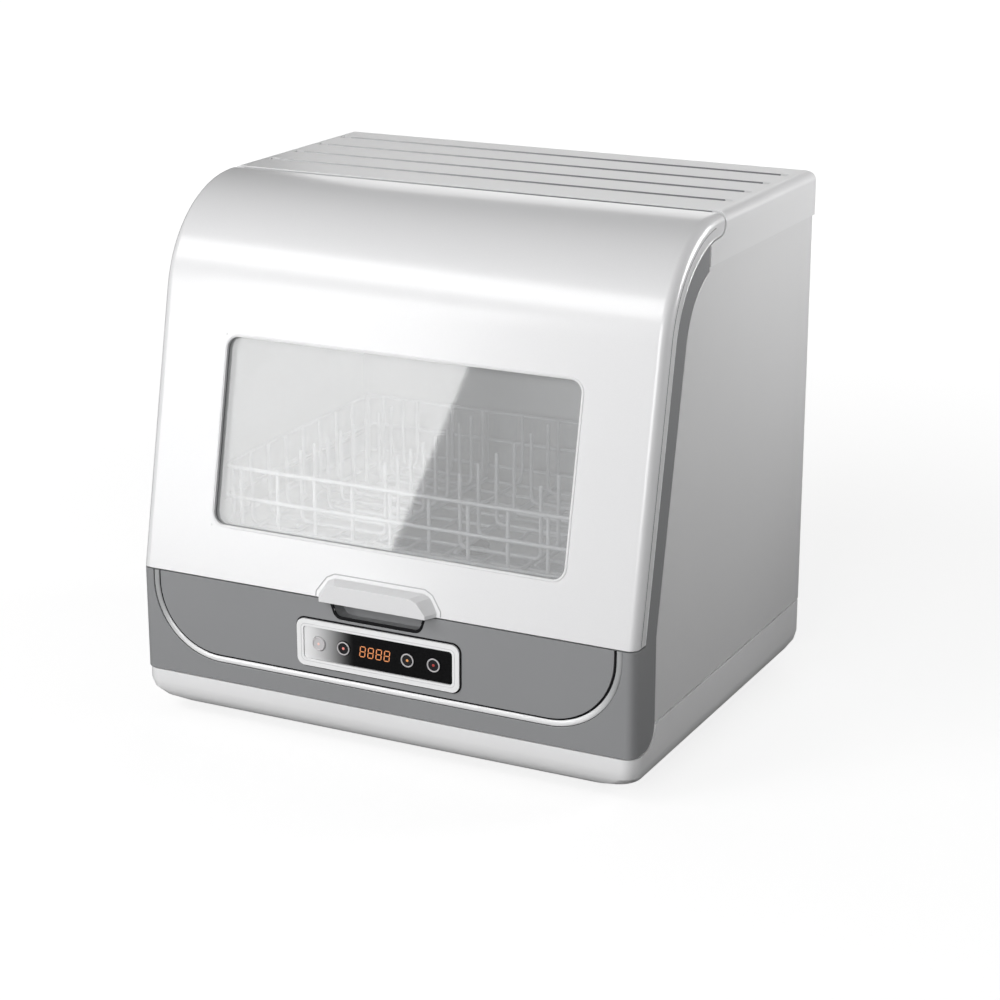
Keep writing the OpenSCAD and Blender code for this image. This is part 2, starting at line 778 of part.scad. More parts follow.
power_w = 84;
power_h = 110;
module power_board() {
    x0 = side_x - power_w - 26;
    z0 = floor_z + 9;
    color([0.13, 0.38, 0.24]) {
        block([x0, rear_in - 8, z0], [x0 + power_w, rear_in - 8 + board_t, z0 + power_h]);
        for (x = [x0 + 6, x0 + power_w - 6], z = [z0 + 6, z0 + power_h - 6]) translate([x, 0, z]) rotate([-90, 0, 0])
            translate([0, 0, rear_in - 8]) cylinder(h = 7.8, r = 3);
        block([x0 + 12, rear_in - 30, z0 + 14], [x0 + 44, rear_in - 7.8, z0 + 46]);
        block([x0 + 52, rear_in - 24, z0 + 20], [x0 + 76, rear_in - 7.8, z0 + 60]);
        block([x0 + 14, rear_in - 22, z0 + 64], [x0 + 70, rear_in - 7.8, z0 + 92]);
    }
}

tongue_t = 5;
module latch_tongue() {
    color(steel) translate([latch_x - tongue_t / 2, 0, 0]) on_latch()
        block([0, door_depth + 0.05, -3], [tongue_t, door_depth + 13, 3]);
}

module on_latch() {
    translate([0, front_y, door_z]) rotate([-lean, 0, 0]) translate([0, 0, latch_z - door_z]) children();
}

module latch_housing() {
    color(black) translate([latch_x, 0, 0]) on_latch() difference() {
        block([-7, flange_in + flange_t + 0.3, -12], [7, flange_in + flange_t + 20, 20]);
        block([-latch_gap, 0, -5], [latch_gap, flange_in + flange_t + 13, 13]);
    }
}

module rack_rail() {
    x = tub_w / 2 - 0.2;
    color(steel) {
        block([x - rail_t, rail_y0, rail_low - rail_t], [x, rail_y1, rail_low + rail_h]);
        for (z = [rail_low - rail_t, rail_low + rail_h - rail_t])
            block([x - 9.5, rail_y0, z], [x, rail_y1, z + rail_t]);
    }
}

module rack_slides() {
    x = tub_w / 2 - 0.2 - rail_t - 0.3;
    color(mid_grey) both_sides()
        block([rack_w / 2, rail_y1 - 4 - slide_len, rail_low + 0.3],
            [x, rail_y1 - 4, rail_low + rail_h - rail_t - 0.3]);
}

rail_top = ceiling_z + tub_t + 2.4;
module hinge_rail() {
    color(steel) difference() {
        block([-hub_in, hinge_y - 16, ceiling_z + tub_t + 0.3], [hub_in, hinge_y + 24, rail_top]);
        for (i = [-2:2]) translate([i * hub_in * 0.28, hinge_y + 4, ceiling_z]) cylinder(h = 20, r = 9);
    }
}

stem_half = 3;
module hinge_bracket() {
    x1 = hub_in - hub_gap;
    color(steel) difference() {
        union() {
            block([x1 - bracket_t, hinge_y - 8, rail_top], [x1, hinge_y + 14, hinge_z - hinge_r - 1]);
            block([x1 - bracket_t, hinge_y - stem_half, hinge_z - hinge_r - 2], [x1, hinge_y + stem_half, hinge_z]);
            translate([x1 - bracket_t, hinge_y, hinge_z]) rotate([0, 90, 0]) cylinder(h = bracket_t, r = pin_r + 2.5);
            block([x1 - bracket_t - 16, hinge_y - 8, rail_top], [x1, hinge_y + 14, rail_top + 2]);
        }
        translate([x1 - bracket_t - 1, hinge_y, hinge_z]) rotate([0, 90, 0])
            cylinder(h = bracket_t + 2, r = pin_r);
    }
}

module hinge_pin() {
    x1 = hub_in - hub_gap;
    color([0.85, 0.86, 0.88]) translate([x1 - bracket_t, hinge_y, hinge_z]) rotate([0, 90, 0])
        cylinder(h = pin_out - x1 + bracket_t - 0.3, r = pin_r);
}

corner_steps = 6;
// The door's outer body moved in by d, with long edges of radius r, from height z0 up.
module door_solid(d, x_out, r, z0) {
    turns = [for (i = [-corner_steps:corner_steps]) if (i != 0) (abs(i) - 1) * 90 / (corner_steps - 1)];
    rings = [for (k = [0:len(turns) - 1]) let (s = k < corner_steps ? -1 : 1, a = turns[k])
        [for (p = profile(d + r * (1 - cos(a)), z0, hinge_y)) [s * (x_out - r + r * sin(a)), p[0], p[1]]]];
    n = len(rings[0]);
    last = (len(rings) - 1) * n;
    polyhedron([for (ring = rings) each ring], concat(
        [[for (j = [n - 1:-1:0]) j]],
        [[for (j = [0:n - 1]) last + j]],
        [for (i = [0:len(rings) - 2], j = [0:n - 1])
            [i * n + j, i * n + (j + 1) % n, (i + 1) * n + (j + 1) % n, (i + 1) * n + j]]));
}

curl_t = 2.5;
curl_end = 20;
curl_r = hinge_r - 0.2;
// Front view of the room for the rolled edge and its hubs, just inside the door's rounded long edges.
module curl_room() {
    turns = [for (i = [0:corner_steps - 1]) i * 90 / (corner_steps - 1)];
    w = side_x - edge_r - 0.2;
    top = body_h - 0.2;
    polygon(concat([[w + edge_r, 0]],
        [for (i = [corner_steps - 1:-1:0]) [w + edge_r * sin(turns[i]), top - edge_r * (1 - cos(turns[i]))]],
        [for (i = [0:corner_steps - 1]) [-w - edge_r * sin(turns[i]), top - edge_r * (1 - cos(turns[i]))]],
        [[-w - edge_r, 0]]));
}

module door_shell() {
    color(pearl) difference() {
        union() {
            difference() {
                door_solid(0, side_x, edge_r, door_z);
                door_solid(wall, inner_x, edge_r - wall, door_z + wall);
                along_x(-big, big) polygon(profile(door_depth, door_z - 1, hinge_y + 5));
                on_door() along_y(-wall, 2 * wall) translate([0, window_low + window_h / 2])
                    rounded(window_w, window_h, window_r);
            }
            intersection() {
                union() {
                    along_x(-hub_in, hub_in) translate([hinge_y, hinge_z]) curl_section();
                    both_sides() along_x(hub_in, side_x) {
                        translate([hinge_y, hinge_z]) circle(curl_r);
                        translate([hinge_y - 8, body_h - door_depth + 0.2]) square([8.5, door_depth - hinge_r - 0.2]);
                    }
                }
                along_y(hinge_y - 20, hinge_y + 20) curl_room();
            }
        }
        both_sides() along_x(hub_in - 1, pin_out) translate([hinge_y, hinge_z]) circle(pin_r + pin_fit);
    }
}

// Side view of the door's rolled edge, from its crown down its rear, a little inside its hubs.
module curl_section() {
    steps = 8;
    r = curl_r - 0.15;
    polygon(concat(
        [for (i = [0:steps]) let (a = curl_end + (94 - curl_end) * i / steps) r * [cos(a), sin(a)]],
        [for (i = [steps:-1:0]) let (a = curl_end + (94 - curl_end) * i / steps)
            (r - curl_t) * [cos(a), sin(a)]]));
}

module door_liner() {
    rim = 6;
    color([0.88, 0.89, 0.90]) {
        difference() {
            union() {
                along_x(-inner_x + 0.3, inner_x - 0.3) intersection() {
                    skin(door_depth - liner_t, door_depth, door_z + wall + 0.3);
                    translate([-big, 0]) square([2 * big, liner_top]);
                }
                on_door() along_y(wall + 1.2 + glass_t + 0.2, door_depth - 1)
                    translate([0, window_low + window_h / 2])
                        rounded(window_w + 2 * rim + 4, window_h + 2 * rim + 4, window_r + rim);
            }
            on_door() along_y(0, door_depth + 5) translate([0, window_low + window_h / 2])
                rounded(window_w + 4, window_h + 4, window_r + 2);
        }
    }
}

module window_glass() {
    color([0.75, 0.80, 0.82, 0.35]) on_door() along_y(wall + 1.2, wall + 1.2 + glass_t)
        translate([0, window_low + window_h / 2]) rounded(window_w + 14, window_h + 14, window_r + 6);
}

module window_gasket() {
    color([0.20, 0.20, 0.22]) on_door() along_y(wall + 0.1, wall + 1.1) difference() {
        translate([0, window_low + window_h / 2]) rounded(window_w + 14, window_h + 14, window_r + 6);
        translate([0, window_low + window_h / 2]) rounded(window_w + 1, window_h + 1, window_r + 0.5);
    }
}

// Front view of the handle: wide foot, narrower top with eased corners.
module handle_outline(half, h) {
    top = half - 11;
    polygon([[-half, 0], [half, 0], [half, h * 0.2], [top + 3, h * 0.84], [top - 3, h],
        [3 - top, h], [-top - 3, h * 0.84], [-half, h * 0.2]]);
}

module door_handle() {
    lip = 3;
    color(pearl) difference() {
        hull() {
            along_y(front_y - handle_out, front_y - handle_out + 0.5) translate([0, door_z])
                handle_outline(handle_w / 2 - handle_taper, handle_h - handle_drop);
            along_y(front_y + 2, front_y + 2.5) translate([0, door_z])
                handle_outline(handle_w / 2, handle_h);
        }
        on_door() block([-big, 0, -10], [big, 30, 100]);
        block([-handle_w / 2 + 10, front_y - handle_out + lip, door_z - 1],
            [handle_w / 2 - 10, front_y + 20, door_z + handle_h * 0.55]);
    }
}

wire_fn = 8;
// A straight wire between two points of the rack, along one axis.
module wire_x(x0, x1, y, z) {
    translate([x0, y, z]) rotate([0, 90, 0]) rotate([0, 0, 22.5]) cylinder(h = x1 - x0, r = wire_r, $fn = wire_fn);
}
module wire_y(x, y0, y1, z) {
    translate([x, y0, z]) rotate([-90, 0, 0]) rotate([0, 0, 22.5]) cylinder(h = y1 - y0, r = wire_r, $fn = wire_fn);
}
module wire_z(x, y, z0, z1) {
    translate([x, y, z0]) rotate([0, 0, 22.5]) cylinder(h = z1 - z0, r = wire_r, $fn = wire_fn);
}

rack_x = rack_w / 2 - wire_r;
rack_y0 = rack_front + wire_r;
rack_y1 = rack_front + rack_d - wire_r;
rack_top = rack_z + rack_h;
cross_count = 8;
long_count = 9;
module dish_rack() {
    rise = wire_r * 1.5;
    color(steel) {
        for (z = [rack_z, rack_z + rack_h * 0.5, rack_top]) {
            for (y = [rack_y0, rack_y1]) wire_x(-rack_x, rack_x, y, z);
            for (x = [-rack_x, rack_x]) wire_y(x, rack_y0 - wire_r, rack_y1 + wire_r, z);
        }
        for (i = [0:cross_count]) {
            y = rack_y0 + (rack_y1 - rack_y0) * i / cross_count;
            wire_x(-rack_x, rack_x, y, rack_z);
            for (x = [-rack_x, rack_x]) wire_z(x, y, rack_z, rack_top);
        }
        for (i = [1:long_count - 1]) {
            x = -rack_x + 2 * rack_x * i / long_count;
            wire_y(x, rack_y0, rack_y1, rack_z + rise);
            for (y = [rack_y0, rack_y1]) wire_z(x, y, rack_z, rack_top);
        }
    }
}

tine_low = rack_z + 2 * wire_r + 0.9;
module tine_rows(xs, pitch, count, y0) {
    for (x = xs) {
        wire_y(x, y0 - 8, y0 + pitch * (count - 1) + 8, tine_low + wire_r);
        for (i = [0:count - 1]) wire_z(x, y0 + pitch * i, tine_low + wire_r, tine_low + tine_h);
    }
}

module plate_tines() {
    color(steel) tine_rows([-rack_x * 0.72, -rack_x * 0.26], plate_pitch, plate_count, rack_y0 + 44);
}

module bowl_tines() {
    color(steel) tine_rows([rack_x * 0.14, rack_x * 0.56], bowl_pitch, bowl_count, rack_y0 + 44);
}

basket_w = 40;
basket_l = rack_d * 0.6;
basket_h = rack_h - 10;
module cutlery_basket() {
    x1 = rack_x - wire_r - 0.4;
    x0 = x1 - basket_w;
    y0 = rack_y0 + rack_d * 0.28;
    z0 = rack_z + 2 * wire_r + 0.9;
    t = 1.6;
    color([0.80, 0.82, 0.84]) difference() {
        block([x0, y0, z0], [x1, y0 + basket_l, z0 + basket_h]);
        for (i = [0:2]) block([x0 + t, y0 + t + (basket_l - t) / 3 * i, z0 + t],
            [x1 - t, y0 + (basket_l - t) / 3 * (i + 1), z0 + basket_h + 1]);
        for (i = [0:8]) block([x0 - 1, y0 + 10 + basket_l * i / 9.7, z0 + 10],
            [x1 + 1, y0 + 13 + basket_l * i / 9.7, z0 + basket_h - 10]);
    }
}

base_tray();
foot(-1, -1);  // foot_front_left
foot(1, -1);  // foot_front_right
foot(-1, 1);  // foot_rear_left
foot(1, 1);  // foot_rear_right
front_frame();
mirror([1, 0, 0]) side_panel();  // side_panel_left
side_panel();  // side_panel_right
rear_panel();
top_cover();
tub();
tub_seal();
sump();
filter_plate();
filter_cup();
heater();
spray_riser();
spray_cap();
wash_pump();
drain_pump();
inlet_valve();
drain_connector();
cord_gland();
control_bezel();
control_window();
control_board();
power_board();
latch_housing();
mirror([1, 0, 0]) rack_rail();  // rack_rail_left
rack_rail();  // rack_rail_right
hinge_rail();
mirror([1, 0, 0]) hinge_bracket();  // hinge_bracket_left
hinge_bracket();  // hinge_bracket_right
mirror([1, 0, 0]) hinge_pin();  // hinge_pin_left
hinge_pin();  // hinge_pin_right
screws();
door_shell();
door_liner();
window_glass();
window_gasket();
door_handle();
latch_tongue();
dish_rack();
plate_tines();
bowl_tines();
cutlery_basket();
rack_slides();
spray_arm();
key(0);  // key_1
key(1);  // key_2
key(2);  // key_3
key(3);  // key_4
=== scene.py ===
import json
from math import atan2, cos, pi, radians, sin, tan

import bmesh
import bpy
from mathutils import Matrix, Quaternion, Vector

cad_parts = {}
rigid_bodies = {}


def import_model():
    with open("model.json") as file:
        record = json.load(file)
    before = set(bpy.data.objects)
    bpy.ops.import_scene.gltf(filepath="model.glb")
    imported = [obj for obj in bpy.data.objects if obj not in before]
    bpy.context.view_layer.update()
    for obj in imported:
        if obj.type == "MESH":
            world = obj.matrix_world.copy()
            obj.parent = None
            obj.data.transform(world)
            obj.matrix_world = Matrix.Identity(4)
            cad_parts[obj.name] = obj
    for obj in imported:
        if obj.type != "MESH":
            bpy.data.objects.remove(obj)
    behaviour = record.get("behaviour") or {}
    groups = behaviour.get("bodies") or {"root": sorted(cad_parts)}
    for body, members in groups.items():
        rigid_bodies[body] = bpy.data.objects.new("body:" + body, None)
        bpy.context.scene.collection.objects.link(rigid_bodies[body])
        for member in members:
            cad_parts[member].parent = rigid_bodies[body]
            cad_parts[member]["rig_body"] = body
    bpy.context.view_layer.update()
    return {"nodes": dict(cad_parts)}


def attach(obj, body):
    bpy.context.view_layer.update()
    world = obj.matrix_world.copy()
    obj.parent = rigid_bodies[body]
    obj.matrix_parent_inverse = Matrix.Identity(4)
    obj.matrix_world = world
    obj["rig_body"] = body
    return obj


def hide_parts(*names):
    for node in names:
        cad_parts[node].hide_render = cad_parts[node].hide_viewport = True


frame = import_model()
nodes = frame["nodes"]
scene = bpy.context.scene
scene.view_settings.view_transform = "Standard"

# The view of the photograph: a long lens a little to the right of the door and above it, aimed at
# the middle of the cabinet.
turn, rise, reach = radians(26.76), radians(17.69), 2.1536
aim = Vector((0.0133, 0.0, 0.1670))
back = Vector((sin(turn) * cos(rise), -cos(turn) * cos(rise), sin(rise)))
lens = bpy.data.cameras.new("camera")
lens.lens = 91.18
lens.sensor_width = 36.0
lens.clip_end = 30.0
camera = bpy.data.objects.new("camera", lens)
camera.location = aim + back * reach
camera.rotation_euler = (-back).to_track_quat("-Z", "Y").to_euler()
scene.collection.objects.link(camera)
scene.camera = camera

# The room: a dim even surround, a pale floor that runs to white in the distance, and soft boxes. The
# tall one at the lower left leans, and its edge crosses the window as a slanted line.
world = bpy.data.worlds.new("surround")
world.use_nodes = True
scene.world = world
sky = world.node_tree
sky.nodes.clear()
path = sky.nodes.new("ShaderNodeLightPath")
bright = sky.nodes.new("ShaderNodeBackground")
bright.inputs["Color"].default_value = (1.0, 1.0, 1.0, 1.0)
bright.inputs["Strength"].default_value = 1.0
plain = sky.nodes.new("ShaderNodeBackground")
plain.inputs["Color"].default_value = (1.0, 1.0, 1.0, 1.0)
toward = sky.nodes.new("ShaderNodeTexCoord")
height = sky.nodes.new("ShaderNodeSeparateXYZ")
ramp = sky.nodes.new("ShaderNodeMapRange")
for socket, value in ((1, -0.1), (2, 1.0), (3, 0.10), (4, 0.13)):
    ramp.inputs[socket].default_value = value
sky.links.new(toward.outputs["Generated"], height.inputs[0])
sky.links.new(height.outputs["Z"], ramp.inputs[0])
sky.links.new(ramp.outputs[0], plain.inputs["Strength"])
choose = sky.nodes.new("ShaderNodeMixShader")
shown = sky.nodes.new("ShaderNodeOutputWorld")
sky.links.new(path.outputs["Is Camera Ray"], choose.inputs[0])
sky.links.new(plain.outputs[0], choose.inputs[1])
sky.links.new(bright.outputs[0], choose.inputs[2])
sky.links.new(choose.outputs[0], shown.inputs[0])

ground = bpy.data.meshes.new("floor")
ground.from_pydata([(-6, -6, 0), (6, -6, 0), (6, 6, 0), (-6, 6, 0)], [], [(0, 1, 2, 3)])
floor = bpy.data.objects.new("floor", ground)
scene.collection.objects.link(floor)
paper = bpy.data.materials.new("floor_paper")
paper.use_nodes = True
sheet = paper.node_tree
skin = sheet.nodes["Principled BSDF"]
skin.inputs["Base Color"].default_value = (0.30, 0.30, 0.30, 1)
skin.inputs["Roughness"].default_value = 0.9
skin.inputs["Specular IOR Level"].default_value = 0.1
skin.inputs["Emission Color"].default_value = (1, 1, 1, 1)
ray = sheet.nodes.new("ShaderNodeLightPath")
place = sheet.nodes.new("ShaderNodeTexCoord")
far = sheet.nodes.new("ShaderNodeVectorMath")
far.operation = "LENGTH"
grow = sheet.nodes.new("ShaderNodeMapRange")
for socket, value in ((1, 0.3), (2, 2.2), (3, 0.80), (4, 1.0)):
    grow.inputs[socket].default_value = value
lift = sheet.nodes.new("ShaderNodeMath")
lift.operation = "MULTIPLY"
sheet.links.new(place.outputs["Object"], far.inputs[0])
sheet.links.new(far.outputs["Value"], grow.inputs[0])
sheet.links.new(ray.outputs["Is Camera Ray"], lift.inputs[0])
sheet.links.new(grow.outputs[0], lift.inputs[1])
sheet.links.new(lift.outputs[0], skin.inputs["Emission Strength"])
ground.materials.append(paper)


def lamp(name, where, at, width, height, watts, lean=0.0, spread=180.0):
    """A soft box at a place, faced to a point and leaned about its own axis."""
    data = bpy.data.lights.new(name, "AREA")
    data.shape = "RECTANGLE"
    data.size = width
    data.size_y = height
    data.energy = watts
    data.spread = radians(spread)
    box = bpy.data.objects.new(name, data)
    box.location = where
    facing = (Vector(at) - Vector(where)).to_track_quat("-Z", "Y")
    box.rotation_euler = (facing @ Quaternion((0, 0, 1), radians(lean))).to_euler()
    scene.collection.objects.link(box)


lamp("lamp_key", (-1.204, -1.975, 0.65), (-1.204, 0.0, 0.65), 0.70, 1.00, 12.4, -13.4)
lamp("lamp_brow", (-0.95, -1.60, 1.70), (0.0, -0.05, 0.35), 1.40, 0.60, 16.5)
lamp("lamp_fill", (0.35, -2.3, 0.9), (0.1, 0.0, 0.25), 1.0, 1.0, 23.0)
lamp("lamp_right", (1.05, 0.75, 0.60), (0.225, 0.10, 0.50), 0.5, 0.5, 1.55, 0.0, 62.0)
lamp("lamp_rear", (-0.8, 2.4, 1.4), (0.0, 0.0, 0.25), 1.6, 1.2, 10.5)

# The base tray is one light grey moulding with a wide rounded lower edge. It carries the pumps, the
# tub's four posts and the cabinet. It has fine spark-eroded grain and dust lies lightly on its foot.


class Term:
    """A socket of a material that takes part in Python sums."""

    def __init__(self, finish, socket):
        self.finish, self.socket = finish, socket

    def join(self, operation, first, second):
        return self.finish.node("ShaderNodeMath", {"operation": operation}, {0: first, 1: second})

    def __add__(self, other):
        return self.join("ADD", self, other)

    def __sub__(self, other):
        return self.join("SUBTRACT", self, other)

    def __rsub__(self, other):
        return self.join("SUBTRACT", other, self)

    def __mul__(self, other):
        return self.join("MULTIPLY", self, other)

    __radd__ = __add__
    __rmul__ = __mul__


class Finish:
    """A material: constants on its shader, everything else through node()."""

    def __init__(self, name, constants):
        self.material = bpy.data.materials.new(name)
        self.material.use_nodes = True
        self.tree = self.material.node_tree
        self.shader = self.tree.nodes["Principled BSDF"]
        for label, value in constants.items():
            self.shader.inputs[label].default_value = value

    def node(self, kind, settings=None, sockets=None, out=0):
        made = self.tree.nodes.new(kind)
        for label, value in (settings or {}).items():
            setattr(made, label, value)
        for label, value in (sockets or {}).items():
            if isinstance(value, Term):
                self.tree.links.new(value.socket, made.inputs[label])
            else:
                made.inputs[label].default_value = value
        return Term(self, made.outputs[out])

    def mix(self, by, low, high):
        return self.node("ShaderNodeMix", {"data_type": "RGBA"}, {0: by, 6: low, 7: high}, 2)

    def feed(self, label, term):
        self.tree.links.new(term.socket, self.shader.inputs[label])


def shade(colour, by):
    """A colour made lighter or darker."""
    return (min(colour[0] * by, 1), min(colour[1] * by, 1), min(colour[2] * by, 1), 1)


def moulded(name, colour, rough, grain=1500.0, depth=0.00005, coat=0.0, drift=0.035, dust=0.0, gloss=0.5):
    """Moulded plastic: fine grain, a slow drift of tone, uneven gloss and a little dust low down."""
    f = Finish(name, {"Coat Weight": coat, "Coat Roughness": 0.12, "Specular IOR Level": gloss})
    spot = f.node("ShaderNodeTexCoord", out="Object")
    fine = f.node("ShaderNodeTexNoise", {}, {"Vector": spot, "Scale": grain, "Detail": 2.0, "Roughness": 0.6})
    slow = f.node("ShaderNodeTexNoise", {}, {"Vector": spot, "Scale": 7.0, "Detail": 3.0, "Roughness": 0.55})
    speck = f.node("ShaderNodeTexVoronoi", {}, {"Vector": spot, "Scale": grain * 0.45})
    paint = f.mix(slow * 0.8 + fine * 0.2, shade(colour, 1 - drift), shade(colour, 1 + drift))
    if dust:
        height = f.node("ShaderNodeSeparateXYZ", {}, {0: spot}, "Z")
        low = f.node("ShaderNodeMapRange", {}, {0: height + slow * 0.02, 1: 0.012, 2: 0.05, 3: dust, 4: 0.0})
        paint = f.mix(low * fine, paint, (0.42, 0.41, 0.39, 1))
    f.feed("Base Color", paint)
    f.feed("Roughness", slow * 0.10 + fine * 0.06 + (rough - 0.08))
    f.feed("Normal", f.node("ShaderNodeBump", {}, {"Strength": 0.35, "Distance": depth,
                                                   "Height": fine * 0.7 + speck * 0.3}))
    return f.material


def settle(piece, node, corner=28.0, stands_for=True):
    """Applies a piece's modifiers, shades it smooth between sharp edges, and puts it on its body."""
    bpy.context.view_layer.update()
    seen = piece.evaluated_get(bpy.context.evaluated_depsgraph_get())
    mesh = bpy.data.meshes.new_from_object(seen)
    name = piece.name
    bpy.data.objects.remove(piece)
    mesh.name = name
    done = bpy.data.objects.new(name, mesh)
    scene.collection.objects.link(done)
    for face in mesh.polygons:
        face.use_smooth = True
    mesh.set_sharp_from_angle(angle=radians(corner + 12))
    even = done.modifiers.new("even", "WEIGHTED_NORMAL")
    even.keep_sharp = True
    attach(done, nodes[node]["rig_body"])
    if stands_for:
        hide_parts(node)
    return done


def dressed(name, node, finish, bevel=0.0006, rings=2, corner=28.0, thin=1e-5):
    """A copy of a solid, its points joined, flat facets merged, sharp edges eased and arcs smooth."""
    work = bmesh.new()
    work.from_mesh(nodes[node].data)
    bmesh.ops.remove_doubles(work, verts=work.verts, dist=thin)
    bmesh.ops.dissolve_degenerate(work, edges=work.edges, dist=thin)
    bmesh.ops.dissolve_limit(work, angle_limit=radians(0.4), verts=work.verts, edges=work.edges)
    mesh = bpy.data.meshes.new(name)
    work.to_mesh(mesh)
    work.free()
    mesh.materials.clear()
    mesh.materials.append(finish)
    piece = bpy.data.objects.new(name, mesh)
    scene.collection.objects.link(piece)
    if bevel:
        ease = piece.modifiers.new("ease", "BEVEL")
        ease.width = bevel
        ease.segments = rings
        ease.limit_method = "ANGLE"
        ease.angle_limit = radians(corner)
        ease.use_clamp_overlap = True
        ease.harden_normals = False
    return settle(piece, node, corner)


base_grey = (0.88, 0.88, 0.885)
light_plastic = moulded("light_grey_plastic", base_grey, 0.42, coat=0.10, dust=0.25)
dressed("base", "base_tray", light_plastic, 0.0008, 3)

# Four black rubber feet, pressed by a plug into holes in the base. Their rubber is matt and picks up
# fine dust.
rubber = moulded("black_rubber", (0.028, 0.028, 0.028), 0.78, 900.0, 0.00008, 0.0, 0.2, 0.5)
for node in ("foot_front_left", "foot_front_right", "foot_rear_left", "foot_rear_right"):
    dressed(node.replace("foot", "rubber_foot"), node, rubber, 0.0005)

# The pumps, the sump and the drain spigot are dark glass-filled plastic, with a dull, slightly
# mottled skin. They are screwed and clipped together under the tub.
dark_plastic = moulded("dark_filled_plastic", (0.085, 0.088, 0.095), 0.52, 700.0, 0.00008, 0.0, 0.10)
for node in ("sump", "wash_pump", "drain_pump", "spray_riser", "spray_cap", "drain_connector"):
    dressed(node + "_casing", node, dark_plastic, 0.0005)

# The drain spigot has four turned barbs that hold the hose. They are rings swept round the spigot
# and set out along it.


class Growth:
    """A geometry tree: sizes by name, nodes from one call, real meshes with their finish at its end."""

    def __init__(self, name, sizes):
        self.net = bpy.data.node_groups.new(name, "GeometryNodeTree")
        ports = self.net.interface
        ports.new_socket("Geometry", in_out="INPUT", socket_type="NodeSocketGeometry")
        self.ports = {}
        for label, kind in {**sizes, "Finish": "Material"}.items():
            port = ports.new_socket(label, in_out="INPUT", socket_type="NodeSocket" + kind)
            self.ports[label] = port.identifier
        ports.new_socket("Geometry", in_out="OUTPUT", socket_type="NodeSocketGeometry")
        self.given = self.net.nodes.new("NodeGroupInput").outputs

    def node(self, kind, settings=None, sockets=None, out=0):
        made = self.net.nodes.new("GeometryNode" + kind)
        for label, value in (settings or {}).items():
            setattr(made, label, value)
        for label, value in (sockets or {}).items():
            for part in value if isinstance(value, list) else [value]:
                if isinstance(part, bpy.types.NodeSocket):
                    self.net.links.new(part, made.inputs[label])
                else:
                    made.inputs[label].default_value = part
        return made.outputs[out]

    def end(self, shape):
        real = self.node("RealizeInstances", {}, {"Geometry": shape})
        done = self.node("SetMaterial", {}, {"Geometry": real, "Material": self.given["Finish"]})
        self.net.links.new(done, self.net.nodes.new("NodeGroupOutput").inputs[0])
        return self


def paths(name, lines, closed=False):
    """A mesh of open or closed lines through points in millimetres, for a wire to follow."""
    points, edges = [], []
    for line in lines:
        first = len(points)
        points += [[c * 0.001 for c in point] for point in line]
        edges += [(first + i, first + i + 1) for i in range(len(line) - 1)]
        if closed:
            edges.append((first + len(line) - 1, first))
    mesh = bpy.data.meshes.new(name)
    mesh.from_pydata(points, edges, [])
    return mesh


def grown(name, mesh, growths, finish, node, corner=28.0, stands_for=False):
    """Runs geometry trees on a path or a shape and keeps what they make as a plain mesh."""
    piece = bpy.data.objects.new(name, mesh)
    scene.collection.objects.link(piece)
    for growth, sizes in growths:
        step = piece.modifiers.new("growth", "NODES")
        step.node_group = growth.net
        for label, value in {**sizes, "Finish": finish}.items():
            step[growth.ports[label]] = value
    return settle(piece, node, corner, stands_for)


wire = Growth("drawn_wire", {"Radius": "Float", "Bend": "Float", "Sides": "Int"})
line = wire.node("MeshToCurve", {}, {"Mesh": wire.given["Geometry"]})
bent = wire.node("FilletCurve", {"mode": "POLY"},
                 {"Curve": line, "Count": 5, "Radius": wire.given["Bend"], "Limit Radius": True})
ring = wire.node("CurvePrimitiveCircle", {}, {"Resolution": wire.given["Sides"], "Radius": wire.given["Radius"]})
tube = wire.node("CurveToMesh", {}, {"Curve": bent, "Profile Curve": ring, "Fill Caps": True})
tip = wire.node("MeshUVSphere", {}, {"Segments": wire.given["Sides"], "Rings": 6, "Radius": wire.given["Radius"]})
ends = wire.node("InstanceOnPoints", {}, {"Points": line, "Instance": tip,
                                          "Selection": wire.node("CurveEndpointSelection")})
wire.end(wire.node("JoinGeometry", {}, {"Geometry": [tube, ends]}))

rows = Growth("set_out_in_rows", {"Count": "Int", "Step": "Vector", "Rows": "Int", "Row Step": "Vector"})
across = rows.node("MeshLine", {}, {"Count": rows.given["Count"], "Offset": rows.given["Step"]})
up = rows.node("MeshLine", {}, {"Count": rows.given["Rows"], "Offset": rows.given["Row Step"]})
one_row = rows.node("InstanceOnPoints", {}, {"Points": across, "Instance": rows.given["Geometry"]})
rows.end(rows.node("InstanceOnPoints", {}, {"Points": up, "Instance": one_row}))


def circle(x, y, z, radius, across="y", count=40):
    """Points round a circle in millimetres that stands across an axis."""
    turns = [2 * pi * i / count for i in range(count)]
    if across == "y":
        return [(x + radius * cos(a), y, z + radius * sin(a)) for a in turns]
    return [(x + radius * cos(a), y + radius * sin(a), z) for a in turns]


barb_path = paths("barbs", [circle(-45, 178, 78, 9.4)], True)
grown("hose_barbs", barb_path, [
    (wire, {"Radius": 0.0011, "Bend": 0.0, "Sides": 10}),
    (rows, {"Count": 4, "Step": (0.0, 0.0055, 0.0), "Rows": 1, "Row Step": (0.0, 0.0, 0.0)})],
    dark_plastic, "drain_connector")

# The fill valve is ivory nylon with a threaded tail through the rear panel for the hose's nut. The
# thread is one ridge wound on the tail.
nylon = moulded("ivory_nylon", (0.72, 0.71, 0.67), 0.45, 800.0, 0.00005, 0.0, 0.03)
dressed("fill_valve", "inlet_valve", nylon, 0.0005)

